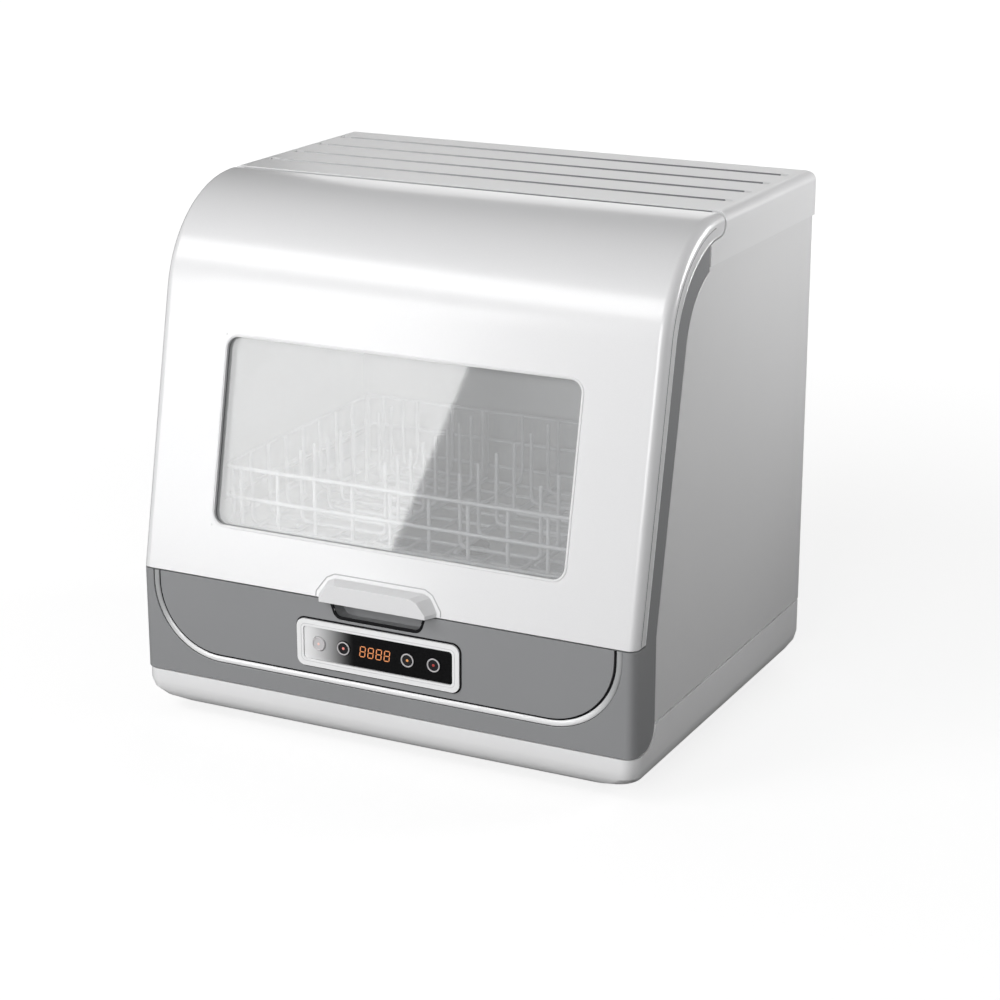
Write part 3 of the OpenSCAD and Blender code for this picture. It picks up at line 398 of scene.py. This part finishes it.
thread = Growth("wound_thread", {"Turns": "Float", "Tail": "Float", "Length": "Float", "Ridge": "Float",
                                 "Start": "Vector", "Along": "Rotation"})
winding = thread.node("CurveSpiral", {}, {
    "Resolution": 40, "Rotations": thread.given["Turns"], "Start Radius": thread.given["Tail"],
    "End Radius": thread.given["Tail"], "Height": thread.given["Length"]})
ridge = thread.node("CurvePrimitiveCircle", {}, {"Resolution": 8, "Radius": thread.given["Ridge"]})
wound = thread.node("CurveToMesh", {}, {"Curve": winding, "Profile Curve": ridge, "Fill Caps": True})
thread.end(thread.node("Transform", {}, {"Geometry": wound, "Translation": thread.given["Start"],
                                         "Rotation": thread.given["Along"]}))
grown("valve_thread", bpy.data.meshes.new("thread"), [
    (thread, {"Turns": 8.0, "Tail": 0.0131, "Length": 0.0205, "Ridge": 0.0009,
              "Start": (0.045, 0.1765, 0.078), "Along": (-pi / 2, 0.0, 0.0)})],
    nylon, "inlet_valve")

# The cord's entry is a black gland, clipped into the rear panel, and the latch case is of the same
# black plastic.
black_plastic = moulded("black_plastic", (0.022, 0.022, 0.024), 0.5, 1200.0, 0.00005, 0.0, 0.15)
dressed("cord_entry_gland", "cord_gland", black_plastic, 0.0006)
dressed("latch_case", "latch_housing", black_plastic, 0.0005)


# The tub, its filter plate and the rails are thin stainless sheet, pressed and brushed along their
# length, with a soft haze from water.
def brushed(name, colour, rough, along=(4.0, 420.0, 420.0), depth=0.00002):
    """Stainless sheet: fine scratches along one way, cloudy gloss."""
    f = Finish(name, {"Metallic": 1.0})
    spot = f.node("ShaderNodeTexCoord", out="Object")
    drawn = f.node("ShaderNodeMapping", {}, {"Vector": spot, "Scale": along})
    lines = f.node("ShaderNodeTexNoise", {}, {"Vector": drawn, "Scale": 2.0, "Detail": 4.0, "Roughness": 0.7})
    haze = f.node("ShaderNodeTexNoise", {}, {"Vector": spot, "Scale": 11.0, "Detail": 3.0, "Roughness": 0.6})
    f.feed("Base Color", f.mix(lines * 0.6 + haze * 0.4, shade(colour, 0.9), shade(colour, 1.08)))
    f.feed("Roughness", lines * 0.14 + haze * 0.10 + (rough - 0.12))
    f.feed("Normal", f.node("ShaderNodeBump", {}, {"Strength": 0.4, "Distance": depth, "Height": lines}))
    return f.material


tub_steel = brushed("tub_stainless", (0.88, 0.89, 0.90), 0.45, (300.0, 300.0, 3.0), 0.000004)
rail_steel = brushed("rolled_steel", (0.62, 0.63, 0.65), 0.38, (420.0, 4.0, 420.0))
pin_steel = brushed("turned_steel", (0.66, 0.67, 0.69), 0.24, (60.0, 900.0, 900.0))
for node, name, finish, slot in (
        ("tub", "tub_shell", tub_steel, "tub_steel"),
        ("filter_plate", "filter_sheet", tub_steel, "tub_steel"),
        ("rack_rail_left", "rail_left", rail_steel, "rail_steel"),
        ("rack_rail_right", "rail_right", rail_steel, "rail_steel"),
        ("hinge_rail", "hinge_beam", rail_steel, "rail_steel"),
        ("hinge_bracket_left", "hinge_ear_left", rail_steel, "rail_steel"),
        ("hinge_bracket_right", "hinge_ear_right", rail_steel, "rail_steel"),
        ("hinge_pin_left", "pin_left", pin_steel, "pin_steel"),
        ("hinge_pin_right", "pin_right", pin_steel, "pin_steel"),
        ("latch_tongue", "latch_blade", pin_steel, "pin_steel")):
    dressed(name, node, finish, 0.0004)

# The heater is a drawn steel tube, bent into an open ring in the sump, dulled by heat.
hot_steel = brushed("heated_steel", (0.42, 0.38, 0.34), 0.45, (90.0, 90.0, 90.0))
dressed("heater_tube", "heater", hot_steel, 0.0)

# The filter cup is a grey moulding with a bar to lift it by.
cup_plastic = moulded("filter_plastic", (0.26, 0.28, 0.31), 0.45)
dressed("filter_basket", "filter_cup", cup_plastic, 0.0004)

# The seals are soft grey rubber: one round the tub's mouth, one under the edge of the glass.
seal_rubber = moulded("seal_rubber", (0.10, 0.10, 0.105), 0.7, 900.0, 0.00006, 0.0, 0.12)
dressed("mouth_seal", "tub_seal", seal_rubber, 0.0006)
dressed("glass_gasket", "window_gasket", seal_rubber, 0.0002)


# The two circuit boards are green lacquered laminate with their parts soldered on, and stay as the
# frame gives them, with the lacquer over the copper tracks.
def circuit(name):
    f = Finish(name, {"Coat Weight": 0.3, "Coat Roughness": 0.2})
    spot = f.node("ShaderNodeTexCoord", out="Object")
    tracks = f.node("ShaderNodeTexBrick", {"offset": 0.5}, {
        "Vector": spot, "Scale": 160.0, "Mortar Size": 0.03, "Color1": (0.02, 0.12, 0.06, 1),
        "Color2": (0.025, 0.15, 0.08, 1), "Mortar": (0.10, 0.30, 0.14, 1)})
    cloud = f.node("ShaderNodeTexNoise", {}, {"Vector": spot, "Scale": 90.0, "Detail": 2.0})
    f.feed("Base Color", tracks)
    f.feed("Roughness", cloud * 0.2 + 0.25)
    return f.material


board = circuit("green_board")
for node in ("control_board", "power_board"):
    mesh = nodes[node].data
    mesh.materials.clear()
    mesh.materials.append(board)

# The front panel is one satin grey moulding that wraps the corners and runs up both sides as a strip
# behind the door. A finger recess is moulded into its face.
panel_plastic = moulded("panel_grey", (0.29, 0.293, 0.30), 0.36, 1300.0, 0.00005, 0.10, 0.05)
dressed("front_panel", "front_frame", panel_plastic, 0.0006, 3)

# A polished bead lies in the curved groove of the front panel. It is pressed in, half round, and
# follows the groove down one side, along the foot and up the other.
groove = {"half": 210.2, "low": 59.3, "radius": 60.2, "top": 128.4, "floor": -188.4}
bead = Growth("half_round_bead", {"Radius": "Float", "Bend": "Float", "Flat": "Vector", "Seat": "Vector"})
line = bead.node("MeshToCurve", {}, {"Mesh": bead.given["Geometry"]})
bent = bead.node("FilletCurve", {"mode": "POLY"},
                 {"Curve": line, "Count": 24, "Radius": bead.given["Bend"], "Limit Radius": True})
ring = bead.node("CurvePrimitiveCircle", {}, {"Resolution": 20, "Radius": bead.given["Radius"]})
tube = bead.node("CurveToMesh", {}, {"Curve": bent, "Profile Curve": ring, "Fill Caps": True})
bead.end(bead.node("Transform", {}, {"Geometry": tube, "Scale": bead.given["Flat"],
                                     "Translation": bead.given["Seat"]}))
bead_path = paths("bead", [[(-groove["half"], 0, groove["top"]), (-groove["half"], 0, groove["low"]),
                            (groove["half"], 0, groove["low"]), (groove["half"], 0, groove["top"])]])


def painted_fade(name, axis, start, stop, first, last, rough, coat):
    """Plastic whose tone passes from one colour to another between two places along an axis; here it paints highlight
    and shade along a line.
    """
    f = Finish(name, {"Coat Weight": coat, "Coat Roughness": 0.12})
    spot = f.node("ShaderNodeTexCoord", out="Object")
    along = f.node("ShaderNodeSeparateXYZ", {}, {0: spot}, axis)
    slow = f.node("ShaderNodeTexNoise", {}, {"Vector": spot, "Scale": 9.0, "Detail": 3.0})
    fine = f.node("ShaderNodeTexNoise", {}, {"Vector": spot, "Scale": 1500.0, "Detail": 2.0})
    by = f.node("ShaderNodeMapRange", {"interpolation_type": "SMOOTHSTEP"},
                {0: along + slow * 0.01, 1: start, 2: stop, 3: 0.0, 4: 1.0})
    f.feed("Base Color", f.mix(by, shade(first, 1.0), shade(last, 1.0)))
    f.feed("Roughness", slow * 0.08 + fine * 0.06 + (rough - 0.07))
    f.feed("Normal", f.node("ShaderNodeBump", {}, {"Strength": 0.3, "Distance": 0.00001, "Height": fine}))
    return f.material


# The bead's colour is a painted highlight: near white low along the foot, passing to grey up the sides.
bead_painted_highlight = painted_fade("panel_bead", "Z", 0.066, 0.108, (0.93, 0.93, 0.935), (0.42, 0.425, 0.43), 0.22, 0.5)
grown("panel_bead", bead_path, [
    (bead, {"Radius": 0.0025, "Bend": groove["radius"] * 0.001, "Flat": (1.0, 0.60, 1.0),
            "Seat": (0.0, groove["floor"] * 0.001, 0.0)})],
    bead_painted_highlight, "front_frame")

# Thin black cords are painted shade: one in the groove's inner corner, one along its outer edge below the bead, and
# one round the finger recess.
cord_painted_shade = moulded("painted_shade_cord", (0.008, 0.008, 0.009), 0.6, 900.0, 0.00005, 0.0, 0.1, 0.0, 0.1)
inset = 3.3
cord_path = paths("filler", [[(-groove["half"] + inset, 0, groove["top"]), (-groove["half"] + inset, 0, groove["low"] + inset),
                              (groove["half"] - inset, 0, groove["low"] + inset), (groove["half"] - inset, 0, groove["top"])]])
grown("groove_corner_painted_shade", cord_path, [
    (bead, {"Radius": 0.0010, "Bend": (groove["radius"] - inset) * 0.001, "Flat": (1.0, 1.0, 1.0),
            "Seat": (0.0, groove["floor"] * 0.001 + 0.0002, 0.0)})],
    cord_painted_shade, "front_frame")
under = [[(x + (0.0 if abs(x) < 1 else (-3.3 if x < 0 else 3.3)), 0, z) for x, z in (
    (-groove["half"], groove["top"]), (-groove["half"], groove["low"] - 3.3),
    (groove["half"], groove["low"] - 3.3), (groove["half"], groove["top"]))]]
grown("groove_underline", paths("underline", under), [
    (bead, {"Radius": 0.0008, "Bend": (groove["radius"] + 3.3) * 0.001, "Flat": (1.0, 1.0, 1.0),
            "Seat": (0.0, groove["floor"] * 0.001 + 0.0002, 0.0)})],
    cord_painted_shade, "front_frame")
recess_path = [[(-43.2, 0, 128.4), (-38.1, 0, 114.7), (38.1, 0, 114.7), (43.2, 0, 128.4)]]
grown("recess_painted_shade", paths("recess", recess_path), [
    (bead, {"Radius": 0.0016, "Bend": 0.007, "Flat": (1.0, 0.5, 1.0), "Seat": (0.0, -0.1894, 0.0)})],
    cord_painted_shade, "front_frame")
# A rim round the recess, lighter than the panel, is a painted highlight.
recess_path = [[(-45.4, 0, 128.4), (-40.0, 0, 112.4), (40.0, 0, 112.4), (45.4, 0, 128.4)]]
painted_rim_highlight = moulded("recess_rim_painted_highlight", (0.50, 0.505, 0.51), 0.25, 1800.0, 0.00001, 0.4, 0.02)
grown("recess_rim_painted_highlight", paths("recess", recess_path), [
    (bead, {"Radius": 0.0005, "Bend": 0.008, "Flat": (1.0, 0.4, 1.0), "Seat": (0.0, -0.1897, 0.0)})],
    painted_rim_highlight, "front_frame")

# The side panels are satin grey, set into the base and under the cover's skirt. A thin welt trims
# the edge that meets the strip.
side_plastic = moulded("side_grey", (0.772, 0.772, 0.776), 0.40, 1400.0, 0.00005, 0.05, 0.03)
for side in ("left", "right"):
    dressed("side_wall_" + side, "side_panel_" + side, side_plastic, 0.0006, 2)


def side_line(x, depth, low, last):
    """Points up the side view of the front at a depth behind it, in millimetres, to an angle on its curve."""
    arc = (-39.89, 336.0, 104.0 - depth)
    lean = radians(12.0)
    upright = [(x, -190 + depth / cos(lean) + max(z - 130, 0) * tan(lean), z) for z in (low, 131.2, 230, 330)]
    steps = [lean + (radians(last) - lean) * i / 26 for i in range(27)]
    return upright + [(x, arc[0] - arc[2] * cos(b), arc[1] + arc[2] * sin(b)) for b in steps]


for side, x in (("left", -223.75), ("right", 223.75)):
    grown("wall_welt_" + side, paths("welt", [side_line(x, 38.9, 64.0, 66.0)]), [
        (wire, {"Radius": 0.00055, "Bend": 0.0, "Sides": 8})],
        side_plastic, "side_panel_" + side)

# The rear is coated steel sheet with slots for air, screwed to the base and the cover. Each slot has
# a rolled rim.
coated = moulded("grey_coated_sheet", (0.44, 0.45, 0.46), 0.48, 1000.0, 0.00006, 0.0, 0.04)
dressed("rear_sheet", "rear_panel", coated, 0.0003)
slot_path = paths("slot", [[(-45.2, 166.6, 305.8), (45.2, 166.6, 305.8), (45.2, 166.6, 310.2), (-45.2, 166.6, 310.2)]], True)
grown("slot_rims", slot_path, [
    (wire, {"Radius": 0.0005, "Bend": 0.0021, "Sides": 8}),
    (rows, {"Count": 1, "Step": (0.0, 0.0, 0.0), "Rows": 7, "Row Step": (0.0, 0.0, 0.010)})],
    coated, "rear_panel")

# Four pan-head screws with a cross recess hold the rear sheet, two to the base and two to the cover.


def turned(name, profile, where, steps=32):
    """A closed shape turned about an axis along Y through a place, from (radius, distance) pairs."""
    points, faces = [], []
    rings = len(profile)
    for radius, along in profile:
        for i in range(steps):
            a = 2 * pi * i / steps
            points.append(((where[0] + radius * cos(a)) * 0.001, along * 0.001, (where[1] + radius * sin(a)) * 0.001))
    for k in range(rings - 1):
        for i in range(steps):
            j = (i + 1) % steps
            faces.append((k * steps + i, k * steps + j, (k + 1) * steps + j, (k + 1) * steps + i))
    faces.append(tuple(range(steps - 1, -1, -1)))
    faces.append(tuple(range((rings - 1) * steps, rings * steps)))
    mesh = bpy.data.meshes.new(name)
    mesh.from_pydata(points, [], faces)
    work = bmesh.new()
    work.from_mesh(mesh)
    bmesh.ops.recalc_face_normals(work, faces=work.faces)
    work.to_mesh(mesh)
    work.free()
    return mesh


screw_at = (-184.0, 46.0)
screw = turned("screw", [(0.3, 158.6), (1.7, 160.6), (1.7, 170.05), (3.4, 170.05), (3.75, 170.35), (3.75, 171.0),
                         (3.4, 171.7), (2.6, 172.1), (1.6, 172.15)], screw_at)
cross = bpy.data.meshes.new("cross")
arm, core, deep, out = 0.0019, 0.0004, 0.1706, 0.1730
plus = [(arm, core), (core, core), (core, arm), (-core, arm), (-core, core), (-arm, core),
        (-arm, -core), (-core, -core), (-core, -arm), (core, -arm), (core, -core), (arm, -core)]
centre = (screw_at[0] * 0.001, screw_at[1] * 0.001)
cross.from_pydata([(centre[0] + u, y, centre[1] + v) for y in (deep, out) for u, v in plus], [],
                  [tuple(range(12)), tuple(range(23, 11, -1))]
                  + [(i, i + 12, (i + 1) % 12 + 12, (i + 1) % 12) for i in range(12)])
driver = bpy.data.objects.new("cross", cross)
scene.collection.objects.link(driver)
head = bpy.data.objects.new("screw_seed", screw)
scene.collection.objects.link(head)
cut = head.modifiers.new("recess", "BOOLEAN")
cut.object = driver
cut.operation = "DIFFERENCE"
cut.solver = "EXACT"
bpy.context.view_layer.update()
seen = head.evaluated_get(bpy.context.evaluated_depsgraph_get())
one_screw = bpy.data.meshes.new_from_object(seen)
bpy.data.objects.remove(head)
bpy.data.objects.remove(driver)
grown("rear_screws", one_screw, [
    (rows, {"Count": 2, "Step": (0.368, 0.0, 0.0), "Rows": 2, "Row Step": (0.0, 0.0, 0.372)})],
    pin_steel, "screws", 28.0, True)

# The top cover is light grey with four shallow grooves across it. Its skirt overlaps the side panels.
cover_plastic = moulded("cover_grey", (0.83, 0.83, 0.835), 0.38, 1500.0, 0.00004, 0.08, 0.03)
dressed("cover", "top_cover", cover_plastic, 0.0008, 3)
# A dark strip in each groove and one in the joint to the door are painted shade, darker towards the right end.
strip_painted_shade = painted_fade("cover_groove_painted_shade", "X", -0.20, 0.10, (0.62, 0.62, 0.63), (0.20, 0.20, 0.21), 0.5, 0.0)
grown("cover_strips", paths("strip", [[(-205, 13.7, 439.0), (205, 13.7, 439.0)]]), [
    (wire, {"Radius": 0.0009, "Bend": 0.0, "Sides": 10}),
    (rows, {"Count": 4, "Step": (0.0, 0.041, 0.0), "Rows": 1, "Row Step": (0.0, 0.0, 0.0)})],
    strip_painted_shade, "top_cover")
grown("joint_strip", paths("strip", [[(-212, -31.6, 438.2), (212, -31.6, 438.2)]]), [
    (wire, {"Radius": 0.0010, "Bend": 0.0, "Sides": 12})], strip_painted_shade, "top_cover")

# The control strip: a white gloss frame round a black acrylic plate whose colour fades to near white at its left
# end. The frame's rim is crowned, with a fine step inside it.
bezel_plastic = moulded("white_gloss_frame", (0.94, 0.94, 0.945), 0.20, 1800.0, 0.00001, 0.6, 0.02)
dressed("control_frame", "control_bezel", bezel_plastic, 0.0014, 4)
# A grey line on the frame's inner step is painted shade.
step_painted_shade = moulded("frame_step", (0.66, 0.66, 0.67), 0.30, 1800.0, 0.00001)
step_path = [[(-70.0, 0, 74.0), (70.0, 0, 74.0), (70.0, 0, 106.0), (-70.0, 0, 106.0)]]
grown("control_frame_step", paths("step", step_path, True), [
    (bead, {"Radius": 0.00024, "Bend": 0.0042, "Flat": (1.0, 1.0, 1.0), "Seat": (0.0, -0.19198, 0.0)})],
    step_painted_shade, "control_bezel")
# A black line round the frame's outside is painted shade.
edge_path = [[(-74.5, 0, 69.5), (74.5, 0, 69.5), (74.5, 0, 110.5), (-74.5, 0, 110.5)]]
grown("control_frame_painted_shade", paths("seal", edge_path, True), [
    (bead, {"Radius": 0.0009, "Bend": 0.0074, "Flat": (1.0, 0.8, 1.0), "Seat": (0.0, -0.1899, 0.0)})],
    cord_painted_shade, "control_bezel")


def acrylic():
    f = Finish("black_acrylic", {"Specular IOR Level": 0.12})
    spot = f.node("ShaderNodeTexCoord", out="Object")
    across = f.node("ShaderNodeSeparateXYZ", {}, {0: spot}, "X")
    faint = f.node("ShaderNodeTexNoise", {}, {"Vector": spot, "Scale": 60.0, "Detail": 2.0})
    fleck = f.node("ShaderNodeTexNoise", {}, {"Vector": spot, "Scale": 900.0, "Detail": 1.0})
    fade = f.node("ShaderNodeMapRange", {"interpolation_type": "SMOOTHSTEP"},
                  {0: across + faint * 0.002, 1: -0.074, 2: -0.020, 3: 1.0, 4: 0.0})
    dark = f.mix(fleck, (0.002, 0.002, 0.002, 1), (0.012, 0.012, 0.013, 1))
    f.feed("Base Color", f.mix(fade, dark, (0.93, 0.93, 0.935, 1)))
    f.feed("Roughness", faint * 0.05 + 0.10)
    return f.material


dressed("control_plate", "control_window", acrylic(), 0.0002)

# The clock behind the plate shows four digits, each of seven lit bars with a gap between them.
digit = {"wide": 4.6, "tall": 8.6, "bar": 0.72, "pitch": 7.4, "front": -190.86, "first": -13.6}


def lit(name, colour, strength):
    """A lit mark: its colour shines evenly, with a soft grain."""
    f = Finish(name, {"Base Color": shade(colour, 0.4), "Roughness": 0.4, "Emission Strength": strength})
    spot = f.node("ShaderNodeTexCoord", out="Object")
    grain = f.node("ShaderNodeTexNoise", {}, {"Vector": spot, "Scale": 1200.0, "Detail": 1.0})
    f.feed("Emission Color", f.mix(grain, shade(colour, 0.75), shade(colour, 1.0)))
    return f.material


def bar(x, z, length, upright):
    """Outline of one lit bar with pointed ends, about its middle, leaning a little."""
    half, thick = length / 2 - 0.25, digit["bar"] / 2
    shape = [(-half, 0), (thick - half, thick), (half - thick, thick), (half, 0), (half - thick, -thick), (thick - half, -thick)]
    if upright:
        shape = [(v, u) for u, v in shape][::-1]
    return [(x + u + (z + v) * 0.12, z + v) for u, v in shape]


digit_points, digit_faces = [], []
side, half_tall = digit["wide"] / 2, digit["tall"] / 2
for x, z, length, upright in ((0, 0, digit["wide"], False), (0, half_tall, digit["wide"], False),
                              (0, -half_tall, digit["wide"], False),
                              (-side, half_tall / 2, half_tall, True), (side, half_tall / 2, half_tall, True),
                              (-side, -half_tall / 2, half_tall, True), (side, -half_tall / 2, half_tall, True)):
    first = len(digit_points)
    for y in (digit["front"], digit["front"] + 0.25):
        digit_points += [((u + digit["first"]) * 0.001, y * 0.001, (v + 90.0) * 0.001) for u, v in bar(x, z, length, upright)]
    digit_faces.append(tuple(first + i for i in range(6)))
    digit_faces.append(tuple(first + 11 - i for i in range(6)))
    digit_faces += [(first + i, first + i + 6, first + (i + 1) % 6 + 6, first + (i + 1) % 6) for i in range(6)]
digit_seed = bpy.data.meshes.new("digit")
digit_seed.from_pydata(digit_points, [], digit_faces)
work = bmesh.new()
work.from_mesh(digit_seed)
bmesh.ops.recalc_face_normals(work, faces=work.faces)
work.to_mesh(digit_seed)
work.free()
clock_orange = lit("clock_orange", (0.95, 0.36, 0.14), 0.75)
grown("clock_digits", digit_seed, [
    (rows, {"Count": 4, "Step": (digit["pitch"] * 0.001, 0.0, 0.0), "Rows": 1, "Row Step": (0.0, 0.0, 0.0)})],
    clock_orange, "control_window")

# Four round keys of dark gloss plastic, each with a printed ring and a small lamp in its middle.
key_plastic = moulded("key_dark", (0.020, 0.020, 0.022), 0.22, 1600.0, 0.00001, 0.1, 0.1, 0.0, 0.2)
ring_grey = moulded("key_ring", (0.62, 0.60, 0.61), 0.35, 1600.0, 0.00001)
key_silver = moulded("key_silver", (0.60, 0.59, 0.60), 0.30, 1600.0, 0.00001, 0.1, 0.03)
lamp_tones = ((0.95, 0.62, 0.55), (0.95, 0.30, 0.26), (0.95, 0.40, 0.12), (0.50, 0.05, 0.04))
for i, x in enumerate((-54.0, -31.0, 27.5, 51.0)):
    node = "key_%d" % (i + 1)
    lamp_red = lit("key_lamp_%d" % (i + 1), lamp_tones[i], 0.6)
    dressed("round_" + node, node, key_silver if i == 0 else key_plastic, 0.0005, 3)
    grown("ring_" + node, paths("ring", [circle(x, -191.6, 90, 5.2)], True),
          [(wire, {"Radius": 0.00055, "Bend": 0.0, "Sides": 8})], ring_grey, node)
    dome = turned("dome", [(1.15, -191.4), (1.15, -191.65), (0.95, -191.85), (0.5, -192.0)], (x, 90.0), 20)
    grown("lamp_" + node, dome, [(rows, {"Count": 1, "Step": (0, 0, 0), "Rows": 1, "Row Step": (0, 0, 0)})],
          lamp_red, node)


# The door is one pearl white moulding, rolled over the top to its hinge, with gloss lacquer that
# shows a trace of orange peel.
def pearl(name):
    f = Finish(name, {"Coat Weight": 0.55, "Coat Roughness": 0.16, "Specular IOR Level": 0.5})
    spot = f.node("ShaderNodeTexCoord", out="Object")
    flake = f.node("ShaderNodeTexVoronoi", {}, {"Vector": spot, "Scale": 1600.0})
    cloud = f.node("ShaderNodeTexNoise", {}, {"Vector": spot, "Scale": 5.0, "Detail": 3.0})
    peel = f.node("ShaderNodeTexNoise", {}, {"Vector": spot, "Scale": 320.0, "Detail": 2.0})
    f.feed("Base Color", f.mix(flake * 0.5 + cloud * 0.5, (0.79, 0.79, 0.80, 1), (0.85, 0.85, 0.855, 1)))
    f.feed("Roughness", flake * 0.08 + cloud * 0.06 + 0.27)
    f.feed("Normal", f.node("ShaderNodeBump", {}, {"Strength": 0.25, "Distance": 0.00006, "Height": peel}))
    return f.material


pearl_white = pearl("pearl_white")
dressed("door_skin", "door_shell", pearl_white, 0.0011, 3)
dressed("handle", "door_handle", pearl_white, 0.0026, 4, 20.0)

# A raised lip, moulded with the skin, runs round the window's opening.
def on_door(across, up, out):
    """A place on the door's leaning part in millimetres: across, up along it, and out from it."""
    lean = radians(12.0)
    return (across, -190 + up * sin(lean) - out * cos(lean), 130 + up * cos(lean) + out * sin(lean))


lip_path = [[on_door(u, v, -0.3) for u, v in ((-159.8, 43.7), (159.8, 43.7), (159.8, 200.3), (-159.8, 200.3))]]
grown("window_lip", paths("lip", lip_path, True), [
    (wire, {"Radius": 0.0009, "Bend": 0.0113, "Sides": 12})], pearl_white, "door_shell")

# A shallow groove in the door's skin follows the handle's root; a grey wire in it is painted shade.
root_painted_shade = moulded("root_groove", (0.52, 0.52, 0.53), 0.5)
root = [(-56.6, 1.0), (-56.6, 4.6), (-48.0, 16.6), (-41.0, 20.0), (41.0, 20.0), (48.0, 16.6), (56.6, 4.6), (56.6, 1.0)]
root_path = [[(u, -190.05 + v * tan(radians(12.0)), 130 + v) for u, v in root]]
grown("handle_root", paths("root", root_path), [
    (wire, {"Radius": 0.0005, "Bend": 0.004, "Sides": 8})], root_painted_shade, "door_handle")

# A fine parting line runs down each side of the door, drawn as a dark wire of painted shade, with a raised welt behind
# it.
parting_painted_shade = moulded("parting_line", (0.18, 0.18, 0.185), 0.5)
for side, x in (("left", -223.9), ("right", 223.9)):
    grown("parting_line_" + side, paths("line", [side_line(x, 9.5, 130.6, 84.0)]), [
        (wire, {"Radius": 0.00035, "Bend": 0.0, "Sides": 8})], parting_painted_shade, "door_shell")
    grown("door_welt_" + side, paths("welt", [side_line(x, 17.2, 130.6, 86.0)]), [
        (wire, {"Radius": 0.0006, "Bend": 0.0, "Sides": 8})], pearl_white, "door_shell")

# The liner closes the door's inside and clamps the glass.
liner_plastic = moulded("liner_white", (0.74, 0.75, 0.77), 0.42)
dressed("inner_liner", "door_liner", liner_plastic, 0.0006)


# The window is tempered glass with polished faces. Its pale colour, laid over the inside through its alpha, is a
# painted reflection.
def clear_glass():
    f = Finish("window_clear", {"Base Color": (0.77, 0.775, 0.775, 1), "IOR": 1.75,
                                "Coat Weight": 1.0, "Coat Roughness": 0.02, "Coat IOR": 1.8})
    spot = f.node("ShaderNodeTexCoord", out="Object")
    smear = f.node("ShaderNodeTexNoise", {}, {"Vector": spot, "Scale": 14.0, "Detail": 4.0, "Roughness": 0.6})
    f.feed("Alpha", smear * 0.05 + 0.27)
    f.feed("Roughness", smear * 0.03 + 0.02)
    return f.material


dressed("window_pane", "window_glass", clear_glass(), 0.0006)

# The dish rack is round wire with a smooth nylon coat. Three rings carry U-shaped wires, bent up at
# their ends and welded inside them.
wire_coat = moulded("nylon_coated_wire", (0.74, 0.76, 0.79), 0.34, 900.0, 0.00004, 0.25, 0.04)
wire_size = {"Radius": 0.0017, "Bend": 0.010, "Sides": 10}
rack = {"x": 174.3, "front": -138.3, "rear": 108.3, "low": 147.7, "top": 209.7}
loops = [[(-rack["x"], rack["front"], z), (rack["x"], rack["front"], z), (rack["x"], rack["rear"], z),
          (-rack["x"], rack["rear"], z)] for z in (rack["low"] + 12, rack["low"] + 36, rack["top"])]
side_in, front_in, rear_in = rack["x"] - 3.2, rack["front"] + 3.2, rack["rear"] - 3.2
wires = []
for i in range(9):
    y = front_in + 6 + (rear_in - front_in - 12) * i / 8
    wires.append([(-side_in, y, rack["top"]), (-side_in, y, rack["low"]), (side_in, y, rack["low"]), (side_in, y, rack["top"])])
for i in range(10):
    x = -side_in + 12 + (side_in - 12) * 2 * i / 9
    low = rack["low"] + 3.2
    wires.append([(x, front_in, rack["top"]), (x, front_in, low), (x, rear_in, low), (x, rear_in, rack["top"])])
grown("rack_rings", paths("rings", loops, True), [(wire, wire_size)], wire_coat, "dish_rack")
grown("rack_wires", paths("wires", wires), [(wire, wire_size)], wire_coat, "dish_rack", 28.0, True)

# The tines are wires bent to a U, with rounded tips, set across two long wires of the rack.
for node, columns, pitch, count in (("plate_tines", (-125.5, -45.3), 22.0, 9), ("bowl_tines", (24.4, 97.6), 33.0, 6)):
    low, top, first = 155.5, 216.5, -94.3
    pairs = [[(columns[0], first + pitch * i, top), (columns[0], first + pitch * i, low),
              (columns[1], first + pitch * i, low), (columns[1], first + pitch * i, top)] for i in range(count)]
    pairs += [[(x, first - 8, low - 2.4), (x, first + pitch * (count - 1) + 8, low - 2.4)] for x in columns]
    grown(node + "_wires", paths(node, pairs), [(wire, {"Radius": 0.0017, "Bend": 0.006, "Sides": 10})],
          wire_coat, node, 28.0, True)

# The cutlery basket and the slides are grey polypropylene.
basket_plastic = moulded("basket_grey", (0.56, 0.59, 0.64), 0.42)
dressed("cutlery_caddy", "cutlery_basket", basket_plastic, 0.0004)
dressed("slide_runners", "rack_slides", basket_plastic, 0.0004)

# The spray arm turns on the riser and throws water through slanted jets.
arm_plastic = moulded("arm_grey", (0.44, 0.46, 0.50), 0.42)
dressed("wash_arm", "spray_arm", arm_plastic, 0.0008)
